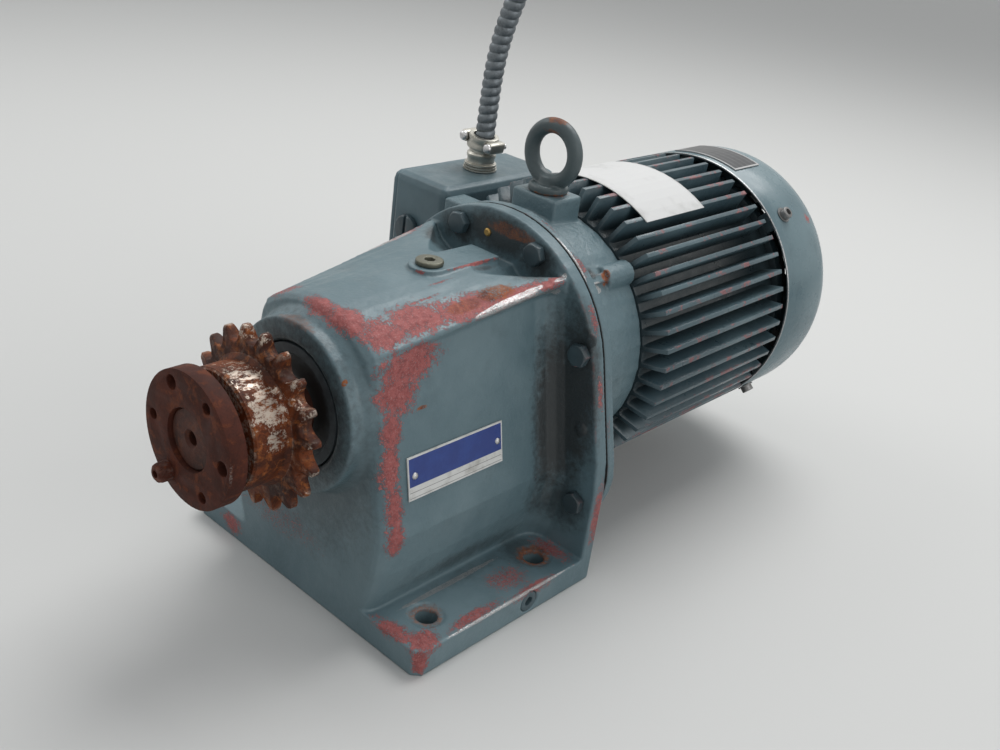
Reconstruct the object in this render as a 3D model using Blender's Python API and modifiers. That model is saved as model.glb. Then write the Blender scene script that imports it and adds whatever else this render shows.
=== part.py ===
"""A foot-mounted gear motor with a chain sprocket on its output shaft.

Metres, +Z up. The origin is at the centre of the foot's underside. The shaft line runs along Y, with
the output end at -Y, the motor at +Y and the terminal box at -X. Along the shaft, stations are
measured from the joint between gear case and motor adapter, which lies over the foot's rear edge.
"""

import math

import bmesh
import bpy
from mathutils import Matrix

# Clearances
SEAT_GAP = 0.0003
RUN_GAP = 0.0005
SINK = 0.001
CHAMFER = 0.001
SMALL_CHAMFER = 0.0006
ROUND_STEPS = 32
SMALL_STEPS = 16

# Foot and shaft line
SHAFT_HEIGHT = 0.130
FOOT_WIDTH = 0.210
FOOT_LENGTH = 0.154
FOOT_THICKNESS = 0.0175
FOOT_CORNER = 0.005
FOOT_HOLE_RADIUS = 0.00675
FOOT_HOLE_EDGE = 0.023
FOOT_HOLE_X = FOOT_WIDTH / 2 - FOOT_HOLE_EDGE
FRONT_HOLE_EDGE = 0.028
REAR_HOLE_EDGE = 0.031
SPOT_FACE_RADIUS = 0.0115
SPOT_FACE_DEPTH = 0.0008
JOINT_Y = FOOT_LENGTH / 2

# Gear case casting
WALL_X = 0.0616
WALL_HEIGHT_OF_X = -0.023
WALL_LEAN = 0.2
WALL_WIDEST = -0.062
WALL_ROOT_X = 0.060
CASE_CORNER_INSET = 0.007
CASE_CORNER_STEPS = ((0.0, 1.0), (0.0012, 0.5), (0.0040, 0.15), (0.0090, 0.0))
CASE_STATION_SHARES = (0.39, 0.75)
WALL_SHARES = (0.25, 0.5, 0.75)
WALL_ROOT_SHARES = (0.45, 0.75)
ROOF_CURVE = 2.4
ROOF_START = 0.014
ROOF_FRONT = ROOF_START - FOOT_LENGTH
ROOF_REAR = -0.012
RIDGE_FRONT_X = 0.047
RIDGE_FRONT_Z = 0.045
RIDGE_REAR_X = 0.058
RIDGE_REAR_Z = 0.065
CROWN_FRONT_Z = 0.0595
CROWN_REAR_Z = 0.0665
RIDGE_EDGE = 0.0022
RIDGE_STEP = 0.008
CASE_FLANGE_THICKNESS = 0.0102
FLANGE_FILLET = 0.0115
FILLET_STEPS = ((1.25, 0.0), (0.55, 0.18), (0.18, 0.50))
CAVITY_RADIUS = 0.046
FRONT_WALL = 0.036
CAVITY_FRONT = FRONT_WALL - FOOT_LENGTH
NOSE_REACH = 0.012
NOSE_FACE = -FOOT_LENGTH - NOSE_REACH
NOSE_RADIUS = 0.0505
NOSE_STEPS = ((0.0080, 0.0008), (0.0115, 0.0030), (0.0160, 0.0055))
NOSE_DEPTH = 0.026
NOSE_MOUTH_RADIUS = 0.0395
SHAFT_HOLE_RADIUS = 0.0225
TONGUE_RADIUS = 0.012
TONGUE_FRONT = -0.070
TONGUE_REAR = -0.021
TONGUE_TOP = 0.0655
TONGUE_DEPTH = 0.017
GROOVE_MARGIN = 0.003
GROOVE_DEPTH = 0.008
POCKET_RADIUS = 0.024
POCKET_END_RADIUS = 0.009
POCKET_LENGTH = 0.046
POCKET_DRIFT = 0.016

# Joint flange outline, shared by the gear case and the motor adapter
FLANGE_RADIUS = 0.0893
FLARE_FOOT = -0.052
FLANGE_BLEND = 0.010
ADAPTER_CORNER = 0.0445
GASKET_THICKNESS = 0.0005
ADAPTER_FLANGE_THICKNESS = 0.007

# Case bolts
BOLT_EDGE = 0.013
CASE_BOLTS = ((0.032, 0.072), (0.077, 0.023), (FOOT_WIDTH / 2 - BOLT_EDGE, -0.074))
BOLT_RADIUS = 0.004
BOLT_FLATS = 0.013
BOLT_HEAD = 0.0055
BOLT_REACH = 0.016

# Gear trains
MODULE = 0.002
PRESSURE_ANGLE = math.radians(20)
ADDENDUM = 0.8
DEDENDUM = 1.0
BACKLASH = 0.00022
MOTOR_PINION_TEETH = 12
FIRST_WHEEL_TEETH = 34
SECOND_PINION_TEETH = 15
OUTPUT_WHEEL_TEETH = 31
CENTRE_DISTANCE = MODULE * (MOTOR_PINION_TEETH + FIRST_WHEEL_TEETH) / 2
FIRST_STAGE_FRONT = -0.028
FIRST_STAGE_WIDTH = 0.018
SECOND_STAGE_FRONT = -0.084
SECOND_STAGE_WIDTH = 0.022
PINION_OVERHANG = 0.002
WHEEL_SEAT_STEP = 0.0035
SHOULDER_STEP = 0.0015

# Bearings as (bore radius, outer radius, width)
OUTPUT_FRONT_BEARING = (0.0175, 0.036, 0.017)
OUTPUT_REAR_BEARING = (0.0125, 0.026, 0.015)
COUNTERSHAFT_BEARING = (0.0075, 0.016, 0.009)
MOTOR_BEARING = (0.0125, 0.026, 0.015)
OUTPUT_BEARING_DEPTH = 0.016
OUTPUT_FRONT_STATION = NOSE_FACE + OUTPUT_BEARING_DEPTH
OUTPUT_REAR_STATION = -0.054
COUNTERSHAFT_FRONT_STATION = CAVITY_FRONT - COUNTERSHAFT_BEARING[2]
COUNTERSHAFT_REAR_STATION = 0.0012
MOTOR_FRONT_STATION = 0.0125
RING_WALL = 0.30
GROOVE_SHARE = 0.55
BALL_GAP = 0.0004
BEARING_LIP = 0.003
PLATE_LIP = 0.002
PLATE_HOLE_MARGIN = 0.003

# Output shaft and its seal
SHAFT_RADIUS = 0.0175
SHAFT_REACH = 0.064
SHAFT_END = NOSE_FACE - SHAFT_REACH
SHAFT_SHOULDER_RADIUS = 0.021
GEAR_SEAT_RADIUS = 0.015
CENTRE_DRILL_RADIUS = 0.004
CENTRE_DRILL_DEPTH = 0.012
CENTRE_DRILL_TIP = 0.003
CENTRE_DRILL_MOUTH = 0.0015
REAR_JOURNAL_STEP = 0.002
SEAL_DEPTH = 0.0015
SEAL_FRONT = NOSE_FACE + SEAL_DEPTH
SEAL_WIDTH = 0.0085
SEAL_DISH = 0.0018
SEAL_LIP = 0.004
SEAL_RIM = 0.005
KEY_WIDTH = 0.010
KEY_HEIGHT = 0.008
KEY_DEPTH = 0.005
KEY_LENGTH = 0.032
KEY_STANDOFF = 0.024
KEY_REAR = NOSE_FACE - KEY_STANDOFF
KEY_FRONT = KEY_REAR - KEY_LENGTH

# Bushing and sprocket
BUSHING_OVERHANG = 0.0024
BUSHING_FACE = SHAFT_END - BUSHING_OVERHANG
BUSHING_RADIUS = 0.0381
BUSHING_FLANGE = 0.0103
BUSHING_BARREL_RADIUS = 0.0258
BUSHING_TAPER = 0.002
BUSHING_CHAMFER = 0.0008
BUSHING_BORE_CHAMFER = 0.0012
BUSHING_HOLE_CIRCLE = 0.0309
BUSHING_LARGE_HOLE = 0.0043
BUSHING_SMALL_HOLE = 0.0033
BUSHING_SCREW_ANGLE = math.radians(-123)
SPROCKET_STANDOFF = 0.0174
SPROCKET_HUB_FRONT = BUSHING_FACE + SPROCKET_STANDOFF
SPROCKET_HUB_RADIUS = 0.0346
SPROCKET_HUB_LENGTH = 0.0215
SPROCKET_PLATE_FRONT = SPROCKET_HUB_FRONT + SPROCKET_HUB_LENGTH
SPROCKET_PLATE = 0.0087
SPROCKET_TEETH = 19
CHAIN_PITCH = 0.015875
ROLLER_RADIUS = 0.00508
ROLLER_PLAY = 0.0001
SEAT_SWINGS = (-72, -25, 25, 72)
TIP_HALF_ANGLE = 0.019
TIP_CHAMFER_SHARE = 0.22
TIP_CHAMFER_REACH = 0.007
SPROCKET_TIP_RADIUS = 0.0523
SPROCKET_PHASE = math.radians(8.0)
SCREW_RADIUS = 0.003
SCREW_HEAD_RADIUS = 0.0056
SCREW_HEAD = 0.008
SCREW_REACH = 0.012

# Motor adapter, which is also the motor's drive-end shield
COVER_RADIUS = 0.098
FIN_CREST_RADIUS = COVER_RADIUS
FIN_HEIGHT = 0.016
FIN_VALLEY_RADIUS = FIN_CREST_RADIUS - FIN_HEIGHT
FRAME_WALL = 0.007
FRAME_BORE_RADIUS = FIN_VALLEY_RADIUS - FRAME_WALL
ADAPTER_END_STEP = 0.0008
ADAPTER_END_RADIUS = FIN_VALLEY_RADIUS - ADAPTER_END_STEP
ADAPTER_TAPER = 0.0033
ADAPTER_RADIUS = ADAPTER_END_RADIUS + ADAPTER_TAPER
FRAME_FRONT = 0.050
ADAPTER_END = FRAME_FRONT - SEAT_GAP
ADAPTER_WEB = 0.0135
ADAPTER_WALL = 0.0075
BEARING_WALL = 0.007
LUG_RADIUS = 0.0085
LUG_INSET = 0.004
LUG_CIRCLE = ADAPTER_RADIUS - LUG_INSET
LUG_FRONT = 0.024
LUG_WEB_HALF = 0.003
LUG_WEB_INWARD = 0.0105
LUG_WEB_INNER = LUG_CIRCLE - LUG_WEB_INWARD
LUG_WEB_OUTWARD = 0.006
LUG_WEB_OUTER = LUG_CIRCLE + LUG_WEB_OUTWARD
BARREL_BULGE = 0.0006
BARREL_SHARE = 0.42
LUG_ANGLE = math.radians(45)
MOTOR_SEAL_RADIUS = 0.020
MOTOR_SEAL_WIDTH = 0.007
MOTOR_SEAL_GAP = 0.001
ROTOR_HOLE_RADIUS = 0.0145
EYE_STATION = 0.0317
EYE_BOSS_HALF_WIDTH = 0.018
EYE_BOSS_FRONT = 0.0180
EYE_BOSS_REAR = 0.0450
EYE_BOSS_HEIGHT = 0.0117
EYE_BOSS_TOP = ADAPTER_RADIUS + EYE_BOSS_HEIGHT
BOSS_ROOT_DEPTH = 0.0075
BOSS_FOOT_Z = ADAPTER_RADIUS - BOSS_ROOT_DEPTH
BOSS_EDGE = 0.0015
PLATFORM_FRONT = 0.0300
PLATFORM_INNER_X = -0.045
PLATFORM_BOTTOM = 0.020
PLATFORM_TOP = 0.0655
EYE_RING_RADIUS = 0.0175
EYE_WIRE_RADIUS = 0.005
EYE_COLLAR_RADIUS = 0.01285
EYE_COLLAR_HEIGHT = 0.0055
EYE_RISE = 0.0243
EYE_CENTRE_Z = EYE_BOSS_TOP + EYE_RISE
EYE_SHANK_RADIUS = 0.005
EYE_SHANK_LENGTH = 0.017

# Stator frame
FRAME_LENGTH = 0.164
FRAME_REAR = FRAME_FRONT + FRAME_LENGTH
TAIL_LENGTH = 0.013
TAIL_STEP = 0.0006
FIN_REAR = FRAME_REAR - TAIL_LENGTH
FIN_CHAMFER = 0.0055
FIN_START = 0.0015
FIN_COUNT = 48
FIN_CREST_THICKNESS = 0.0030
FIN_ROOT_THICKNESS = 0.0052
FIN_PHASE = math.radians(1.4)

# Motor inside
CORE_FRONT = 0.078
CORE_LENGTH = 0.092
ROTOR_RADIUS = 0.045
AIR_GAP = 0.0008
WINDING_REACH = 0.019
WINDING_CLEARANCE = 0.006
WINDING_INNER_RADIUS = ROTOR_RADIUS + WINDING_CLEARANCE
WINDING_MARGIN = 0.005
WINDING_OUTER_RADIUS = FRAME_BORE_RADIUS - WINDING_MARGIN
WINDING_CORNER = 0.004
END_RING = 0.010
END_RING_WALL = 0.012
END_RING_STEP = 0.003
ROTOR_SHAFT_RADIUS = 0.016
PINION_SEAT_RADIUS = 0.0065
FAN_SEAT_RADIUS = 0.010
PINION_SHOULDER = 0.003
FAN_SEAT_GAP = 0.004

# Rear end shield, fan and cover
REAR_BEARING_DEPTH = 0.0125
MOTOR_REAR_STATION = FRAME_REAR - REAR_BEARING_DEPTH
REAR_SHIELD_RIM = 0.004
REAR_SHIELD_RADIUS = FIN_VALLEY_RADIUS + REAR_SHIELD_RIM
REAR_SHIELD_SPIGOT = 0.010
REAR_SHIELD_THICKNESS = 0.008
REAR_SHIELD_DISH = 0.003
SPIGOT_WALL = 0.007
COVER_GAP = 0.0075
COVER_FRONT = FIN_REAR + COVER_GAP
COVER_SCREW_DEPTH = 0.0175
COVER_SCREW_STATION = COVER_FRONT + COVER_SCREW_DEPTH
REAR_LUG_MARGIN = 0.0065
REAR_LUG_END = COVER_SCREW_STATION + REAR_LUG_MARGIN
REAR_LUG_WIDTH = 0.014
REAR_LUG_DEPTH = 0.026
REAR_LUG_INNER = REAR_SHIELD_RADIUS - REAR_LUG_DEPTH
REAR_LUG_GAP = 0.0014
FAN_GAP = 0.0055
FAN_FRONT = REAR_LUG_END + FAN_GAP
FAN_BLADE_DEPTH = 0.021
FAN_SEAT_LENGTH = 0.019
ROTOR_SHAFT_END = FAN_FRONT + FAN_SEAT_LENGTH
INLET_GAP = 0.026
COVER_REAR = FAN_FRONT + FAN_BLADE_DEPTH + INLET_GAP
COVER_ROUND = 0.030
COVER_STRAIGHT_END = COVER_REAR - COVER_ROUND
COVER_WALL = 0.0015
COVER_SHOULDER = 0.032
COVER_FACE_RADIUS = COVER_RADIUS - COVER_SHOULDER
COVER_SCREW_ANGLE = math.radians(46.5)
COVER_SCREW_RADIUS = 0.0025
COVER_SCREW_HEAD_RADIUS = 0.0045
COVER_SCREW_HEAD = 0.0045
COVER_SCREW_REACH = 0.012
WASHER_SHARE = 1.3
WASHER_THICKNESS = 0.001
WASHER_GAP = 0.0002
INLET_RINGS = ((0.044, 0.030, 6), (0.024, 0.009, 9))
INLET_FILL = 0.72
FAN_TIP_GAP = 0.012
FAN_RADIUS = COVER_RADIUS - FAN_TIP_GAP
FAN_DISC_STEP = 0.008
FAN_DISC = 0.003
FAN_BLADE = 0.0025
FAN_BLADES = 8
FAN_HUB_RADIUS = 0.018
FAN_HUB_LENGTH = 0.016

# Plates and labels
PLATE_THICKNESS = 0.0008
PLATE_STEPS = 12
OIL_PLATE_LENGTH = 0.0766
OIL_PLATE_HEIGHT = 0.026
OIL_PLATE_STATION = -0.0953
OIL_PLATE_Z = -0.028
MOTOR_PLATE_FRONT = COVER_FRONT + 0.0065
MOTOR_PLATE_LENGTH = 0.034
MOTOR_PLATE_ANGLES = (math.radians(74), math.radians(106))
LABEL_FRONT = 0.074
LABEL_LENGTH = 0.067
LABEL_ANGLES = (math.radians(59), math.radians(110))
LABEL_THICKNESS = 0.0005

# Terminal box and conduit
BOX_SEAT_DEPTH = 0.010
BOX_INNER_X = BOX_SEAT_DEPTH - FIN_CREST_RADIUS
BOX_DEPTH = 0.050
BOX_OUTER_X = BOX_INNER_X - BOX_DEPTH
BOX_FRONT = 0.032
BOX_REAR = 0.152
BOX_BOTTOM = -0.050
BOX_TOP = 0.070
BOX_WALL = 0.004
BOX_CORNER = 0.006
BOX_COVER = 0.0045
BOX_PAD = (0.056, 0.128, -0.030, 0.034)
BOX_PAD_DEPTH = 0.016
BOX_ROOM = 0.004
BOX_COVER_INSET = 0.001
WIRE_HOLE_RADIUS = 0.012
TERMINAL_STUDS = 6
STUD_RADIUS = 0.0025
BLOCK_LENGTH = 0.056
BLOCK_HEIGHT = 0.032
BLOCK_THICKNESS = 0.012
STUD_REACH = 0.010
BLANK_RADIUS = 0.0105
BLANK_THREAD_RADIUS = 0.008
BLANK_SLOT_HALF = 0.0012
BLANK_SLOT_DEPTH = 0.0018
BLANK_STANDOFF = 0.034
BLANK_X = BOX_INNER_X - BLANK_STANDOFF
BLANK_Z = 0.031
BLANK_HEAD = 0.0045
CONNECTOR_STANDOFF = 0.027
CONNECTOR_X = BOX_INNER_X - CONNECTOR_STANDOFF
CONNECTOR_REACH = 0.006
CONNECTOR_STATION = 0.093
CONNECTOR_HOLE_RADIUS = 0.0085
LOCKNUT_RADIUS = 0.0125
LOCKNUT_HEIGHT = 0.006
CONNECTOR_NECK_RADIUS = 0.010
CLAMP_BOTTOM = 0.0145
CLAMP_TOP = 0.0275
CLAMP_WIDTH = 0.033
CLAMP_DEPTH = 0.022
CLAMP_EDGE = 0.003
CLAMP_TILT = math.radians(8)
CONDUIT_RADIUS = 0.00725
CONDUIT_SOCKET = 0.004
CONDUIT_ROUTE = (
    (-0.1141, 0.1705, 0.2280),
    (-0.1140, 0.1706, 0.2400),
    (-0.1139, 0.1707, 0.2520),
    (-0.1136, 0.1708, 0.2640),
    (-0.1128, 0.1709, 0.2760),
    (-0.1113, 0.1710, 0.2875),
    (-0.1090, 0.1711, 0.2990),
    (-0.1060, 0.1712, 0.3105),
    (-0.1024, 0.1713, 0.3215),
    (-0.0984, 0.1714, 0.3325),
    (-0.0941, 0.1715, 0.3435),
    (-0.0897, 0.1716, 0.3545),
)
CONDUIT_END_RADIUS = 0.0125
CONDUIT_END_LENGTH = 0.030

# Drain plug and vent plug
DRAIN_STATION = -0.0595
DRAIN_HEIGHT = 0.009
DRAIN_Z = DRAIN_HEIGHT - SHAFT_HEIGHT
DRAIN_RADIUS = 0.0070
DRAIN_DEPTH = 0.004
DRAIN_THREAD_RADIUS = 0.005
DRAIN_THREAD = 0.010
DRAIN_FLUSH = 0.0004
VENT_STATION = -0.069
VENT_RADIUS = 0.0085
VENT_HEAD = 0.003
VENT_REACH = 0.008
VENT_THREAD_RADIUS = 0.006
SOCKET_FLATS = 0.006
SOCKET_DEPTH = 0.0035

# How a shape that is drawn round or across local Z is laid: the rows give world X, Y and Z
UPRIGHT = Matrix(((1, 0, 0), (0, 1, 0), (0, 0, 1)))
ALONG_Y = Matrix(((1, 0, 0), (0, 0, 1), (0, -1, 0)))
ALONG_X = Matrix(((0, 0, 1), (0, 1, 0), (-1, 0, 0)))
FACING_Y = Matrix(((1, 0, 0), (0, 0, 1), (0, 1, 0)))
FACING_X = Matrix(((0, 0, 1), (1, 0, 0), (0, 1, 0)))

# Colour, metallic and roughness of each finish
FINISHES = {
    "case_paint": ((0.125, 0.175, 0.185), 0.1, 0.5),
    "motor_paint": ((0.085, 0.130, 0.145), 0.1, 0.45),
    "rusty_steel": ((0.190, 0.085, 0.045), 0.5, 0.6),
    "brown_steel": ((0.110, 0.062, 0.048), 0.5, 0.55),
    "bright_steel": ((0.55, 0.55, 0.56), 1.0, 0.35),
    "dark_steel": ((0.20, 0.21, 0.22), 0.9, 0.45),
    "zinc": ((0.48, 0.47, 0.42), 0.9, 0.4),
    "lamination": ((0.28, 0.28, 0.29), 0.8, 0.5),
    "copper": ((0.60, 0.26, 0.12), 0.8, 0.4),
    "rubber": ((0.03, 0.03, 0.03), 0.0, 0.7),
    "black_plastic": ((0.05, 0.05, 0.055), 0.0, 0.5),
    "blue_plate": ((0.020, 0.050, 0.250), 0.2, 0.4),
    "dark_plate": ((0.05, 0.055, 0.065), 0.4, 0.4),
    "white_paper": ((0.80, 0.80, 0.80), 0.0, 0.7),
}


def clear_scene():
    """Removes everything that the file opened with."""
    for old in list(bpy.data.objects):
        bpy.data.objects.remove(old, do_unlink=True)


clear_scene()
parts = bpy.data.collections.new("gear_motor")
bpy.context.scene.collection.children.link(parts)


def finish(name):
    """The material with this finish's colour, metallic value and roughness."""
    found = bpy.data.materials.get(name)
    if found:
        return found
    colour, metallic, roughness = FINISHES[name]
    made = bpy.data.materials.new(name)
    made.use_nodes = True
    shader = made.node_tree.nodes["Principled BSDF"]
    shader.inputs["Base Color"].default_value = (*colour, 1)
    shader.inputs["Metallic"].default_value = metallic
    shader.inputs["Roughness"].default_value = roughness
    return made


def line_empty(name, height):
    """An empty on a shaft's axis, at the joint plane."""
    empty = bpy.data.objects.new(name, None)
    empty.location = (0, JOINT_Y, height)
    parts.objects.link(empty)
    return empty


shaft_line = line_empty("shaft_line", SHAFT_HEIGHT)
countershaft_line = line_empty("countershaft_line", SHAFT_HEIGHT - CENTRE_DISTANCE)


def place(name, mesh, at=(0, 0, 0), turn=(0, 0, 0), on=shaft_line):
    """Puts a mesh in the scene as an object on one of the two shaft lines."""
    piece = bpy.data.objects.new(name, mesh)
    parts.objects.link(piece)
    piece.parent = on
    piece.location = at
    piece.rotation_euler = turn
    return piece


def lay(mesh, way):
    """Lays a mesh in one of the ways above, with no rounding, so that flush faces stay flush."""
    mesh.transform(way.to_4x4())
    if way.determinant() < 0:
        mesh.flip_normals()
    return mesh


def bake(piece):
    """Writes the piece's modifiers into its mesh."""
    bpy.context.view_layer.update()
    graph = bpy.context.evaluated_depsgraph_get()
    mesh = bpy.data.meshes.new_from_object(piece.evaluated_get(graph))
    work = bmesh.new()
    work.from_mesh(mesh)
    bmesh.ops.remove_doubles(work, verts=work.verts, dist=1e-7)
    work.to_mesh(mesh)
    work.free()
    piece.modifiers.clear()
    piece.data = mesh
    return piece


def combine(body, others, operation):
    """Joins the others to the body, or cuts them from it, and removes them."""
    for other in others:
        step = body.modifiers.new(operation.lower(), "BOOLEAN")
        step.operation = operation
        step.object = other
        step.solver = "EXACT"
        bake(body)
        bpy.data.objects.remove(other, do_unlink=True)
    return body


def join(body, *others):
    return combine(body, others, "UNION")


def cut(body, *others):
    return combine(body, others, "DIFFERENCE")


def keep_common(body, *others):
    return combine(body, others, "INTERSECT")


def mesh_from(work, name="shape"):
    mesh = bpy.data.meshes.new(name)
    work.to_mesh(mesh)
    work.free()
    return mesh


def turned(name, profile, steps=ROUND_STEPS, on=shaft_line, at=(0, 0, 0), way=ALONG_Y, swing=0.0):
    """A turned solid from (station, radius) points. A profile that starts and ends at radius 0 is a
    solid of one outer surface, and any other is a closed ring. A swing turns it about the shaft line."""
    points = [(radius, station) for station, radius in profile]
    following = points[1:] + points[:1]
    area = sum(a[0] * b[1] - b[0] * a[1] for a, b in zip(points, following))
    if area > 0:
        points.reverse()
    work = bmesh.new()
    corners = [work.verts.new((radius, 0, station)) for radius, station in points]
    for first, second in zip(corners, corners[1:]):
        work.edges.new((first, second))
    if points[0][0] > 0 or points[-1][0] > 0:
        work.edges.new((corners[-1], corners[0]))
    piece = place(name, mesh_from(work), at, (0, swing, 0), on)
    screw = piece.modifiers.new("turn", "SCREW")
    screw.axis = "Z"
    screw.angle = 2 * math.pi
    screw.steps = steps
    screw.render_steps = steps
    screw.use_merge_vertices = True
    screw.merge_threshold = 0.00001
    lay(bake(piece).data, way)
    return piece


def rod(name, front, rear, radius, steps=ROUND_STEPS, **where):
    """A plain cylinder between two stations."""
    return turned(name, [(front, 0), (front, radius), (rear, radius), (rear, 0)], steps, **where)


def ring(name, front, rear, inner, outer, steps=ROUND_STEPS, **where):
    profile = [(front, inner), (front, outer), (rear, outer), (rear, inner)]
    return turned(name, profile, steps, **where)


def box(name, low, high, bevel=0.0, **where):
    """A box between two corners, with its edges rounded if a bevel is given."""
    work = bmesh.new()
    bmesh.ops.create_cube(work, size=1)
    for corner in work.verts:
        corner.co = [a + (b - a) * (c + 0.5) for a, b, c in zip(low, high, corner.co)]
    if bevel:
        bmesh.ops.bevel(
            work, geom=work.edges[:], offset=bevel, segments=2, affect="EDGES", profile=0.5
        )
    return place(name, mesh_from(work), **where)


def sheet_mesh(outline, low, high, way, holes=()):
    """A flat outline of (x, y) points, with any holes in it, thick from low to high along local Z."""
    curve = bpy.data.curves.new("outline", "CURVE")
    curve.dimensions = "2D"
    curve.fill_mode = "BOTH"
    curve.extrude = (high - low) / 2
    for loop in (outline, *holes):
        spline = curve.splines.new("POLY")
        spline.points.add(len(loop) - 1)
        for point, (x, y) in zip(spline.points, loop):
            point.co = (x, y, 0, 1)
        spline.use_cyclic_u = True
    drawn = bpy.data.objects.new("outline", curve)
    parts.objects.link(drawn)
    bpy.context.view_layer.update()
    graph = bpy.context.evaluated_depsgraph_get()
    mesh = bpy.data.meshes.new_from_object(drawn.evaluated_get(graph))
    bpy.data.objects.remove(drawn, do_unlink=True)
    work = bmesh.new()
    work.from_mesh(mesh)
    for corner in work.verts:
        corner.co.z = low if corner.co.z < 0 else high
    bmesh.ops.remove_doubles(work, verts=work.verts, dist=1e-7)
    bmesh.ops.recalc_face_normals(work, faces=work.faces)
    work.to_mesh(mesh)
    work.free()
    return lay(mesh, way)


def profile_plate(name, outline, front, rear, holes=(), on=shaft_line):
    """An outline of (x, z) points, thick from one station to another."""
    return place(name, sheet_mesh(outline, front, rear, FACING_Y, holes), on=on)


def plan_plate(name, outline, bottom, top, on=shaft_line):
    """An outline of (x, station) points, thick from one height to another."""
    return place(name, sheet_mesh(outline, bottom, top, UPRIGHT), on=on)


def loft(name, sections, on=shaft_line):
    """A solid through sections of as many points each, closed by flat ends."""
    work = bmesh.new()
    loops = [[work.verts.new(point) for point in section] for section in sections]
    for near, far in zip(loops, loops[1:]):
        for i in range(len(near)):
            j = (i + 1) % len(near)
            work.faces.new((near[i], near[j], far[j], far[i]))
    bmesh.ops.triangulate(work, faces=work.faces)
    work.faces.new(loops[0])
    work.faces.new(loops[-1])
    bmesh.ops.recalc_face_normals(work, faces=work.faces)
    return place(name, mesh_from(work), on=on)


def arc(radius, start, end, count, centre=(0, 0)):
    """Points along an arc, both ends included."""
    step = (end - start) / (count - 1)
    angles = [start + step * i for i in range(count)]
    return [(centre[0] + radius * math.cos(a), centre[1] + radius * math.sin(a)) for a in angles]


def polar(radius, angle):
    return radius * math.cos(angle), radius * math.sin(angle)


def done(piece, look):
    """Gives a finished piece its material and its smooth round faces."""
    piece.data.materials.clear()
    piece.data.materials.append(finish(look))
    piece.data.shade_smooth()
    piece.data.set_sharp_from_angle(angle=math.radians(35))
    piece.data.name = piece.name
    return piece


def flare_angle():
    """Where the straight flare, from its foot on the upright side, touches the flange's round top."""
    side = FOOT_WIDTH / 2
    return math.atan2(FLARE_FOOT, side) + math.acos(FLANGE_RADIUS / math.hypot(side, FLARE_FOOT))


def flange_half_round():
    """The right half of the joint flange's round top, from the middle to where its flare leaves it."""
    return arc(FLANGE_RADIUS, math.pi / 2, flare_angle(), 13)


def mirrored(half):
    """A closed outline from its right half, which starts on the middle line."""
    return half + [(-x, z) for x, z in reversed(half) if x > 1e-6]


def case_flange_outline():
    """The case's flange: its sides turn upright below the flare and run down into the foot."""
    side = FOOT_WIDTH / 2
    half = flange_half_round()
    blend_x = side - FLANGE_BLEND * math.sin(flare_angle())
    half.append((blend_x, FLARE_FOOT + FLANGE_BLEND * math.cos(flare_angle())))
    half.append((side, FLARE_FOOT - FLANGE_BLEND))
    half.append((side, -SHAFT_HEIGHT + FOOT_THICKNESS / 2))
    return mirrored(half)


def adapter_outline():
    """The adapter's flange: as the case's, with big round corners at the bottom of its flare."""
    corner_z = FLARE_FOOT - ADAPTER_CORNER * math.tan(flare_angle() / 2)
    centre = (FOOT_WIDTH / 2 - ADAPTER_CORNER, corner_z)
    return mirrored(flange_half_round() + arc(ADAPTER_CORNER, flare_angle(), -math.pi / 2, 9, centre))


def cavity_outline(radius=CAVITY_RADIUS):
    """The slot round both shafts that holds the gears."""
    upper = arc(radius, 0, math.pi, 11)
    lower = arc(radius, -math.pi, 0, 11, (0, -CENTRE_DISTANCE))
    return upper + lower


def wall_x(z):
    """Half the case's width at a height over the shaft line."""
    if z >= WALL_WIDEST:
        return WALL_X + WALL_LEAN * (WALL_HEIGHT_OF_X - z)
    widest = WALL_X + WALL_LEAN * (WALL_HEIGHT_OF_X - WALL_WIDEST)
    foot_z = -SHAFT_HEIGHT + FOOT_THICKNESS
    share = (WALL_WIDEST - z) / (WALL_WIDEST - foot_z)
    return widest - (widest - WALL_ROOT_X) * min(share, 1) ** 2


def case_section(station, inset=0.0, flare=0.0):
    """The gear case's outline at a station: leaning walls under a crowned roof with a ridge each side."""
    share = (station - ROOF_FRONT) / (ROOF_REAR - ROOF_FRONT)
    share = max(0.0, min(1.0, share))
    ridge_x = RIDGE_FRONT_X + (RIDGE_REAR_X - RIDGE_FRONT_X) * share
    ridge_z = RIDGE_FRONT_Z + (RIDGE_REAR_Z - RIDGE_FRONT_Z) * share - inset
    crown_z = CROWN_FRONT_Z + (CROWN_REAR_Z - CROWN_FRONT_Z) * share - inset
    under_z = ridge_z - 2 * RIDGE_EDGE - RIDGE_STEP * share
    foot_z = -SHAFT_HEIGHT + FOOT_THICKNESS
    half = []
    for fifth in range(5, -1, -1):
        x = ridge_x * fifth / 5
        z = crown_z - (crown_z - ridge_z) * (fifth / 5) ** ROOF_CURVE
        half.append((max(x - inset * fifth / 5, 0), z))
    half.reverse()
    half.append((ridge_x - inset + RIDGE_EDGE * 0.2, ridge_z - RIDGE_EDGE))
    heights = [under_z] + [under_z + (WALL_WIDEST - under_z) * share for share in WALL_SHARES]
    heights += [WALL_WIDEST] + [WALL_WIDEST + (foot_z - WALL_WIDEST) * share for share in WALL_ROOT_SHARES]
    heights.append(foot_z)
    for z in heights:
        half.append((wall_x(z) - inset + flare, z))
    half.append((WALL_ROOT_X - inset + flare, foot_z - FOOT_THICKNESS / 2))
    return [(x, station, z) for x, z in mirrored(half)]


def bolt_places():
    """Where the six case bolts stand, left and right."""
    return [(side * x, z) for x, z in CASE_BOLTS for side in (-1, 1)]


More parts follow.
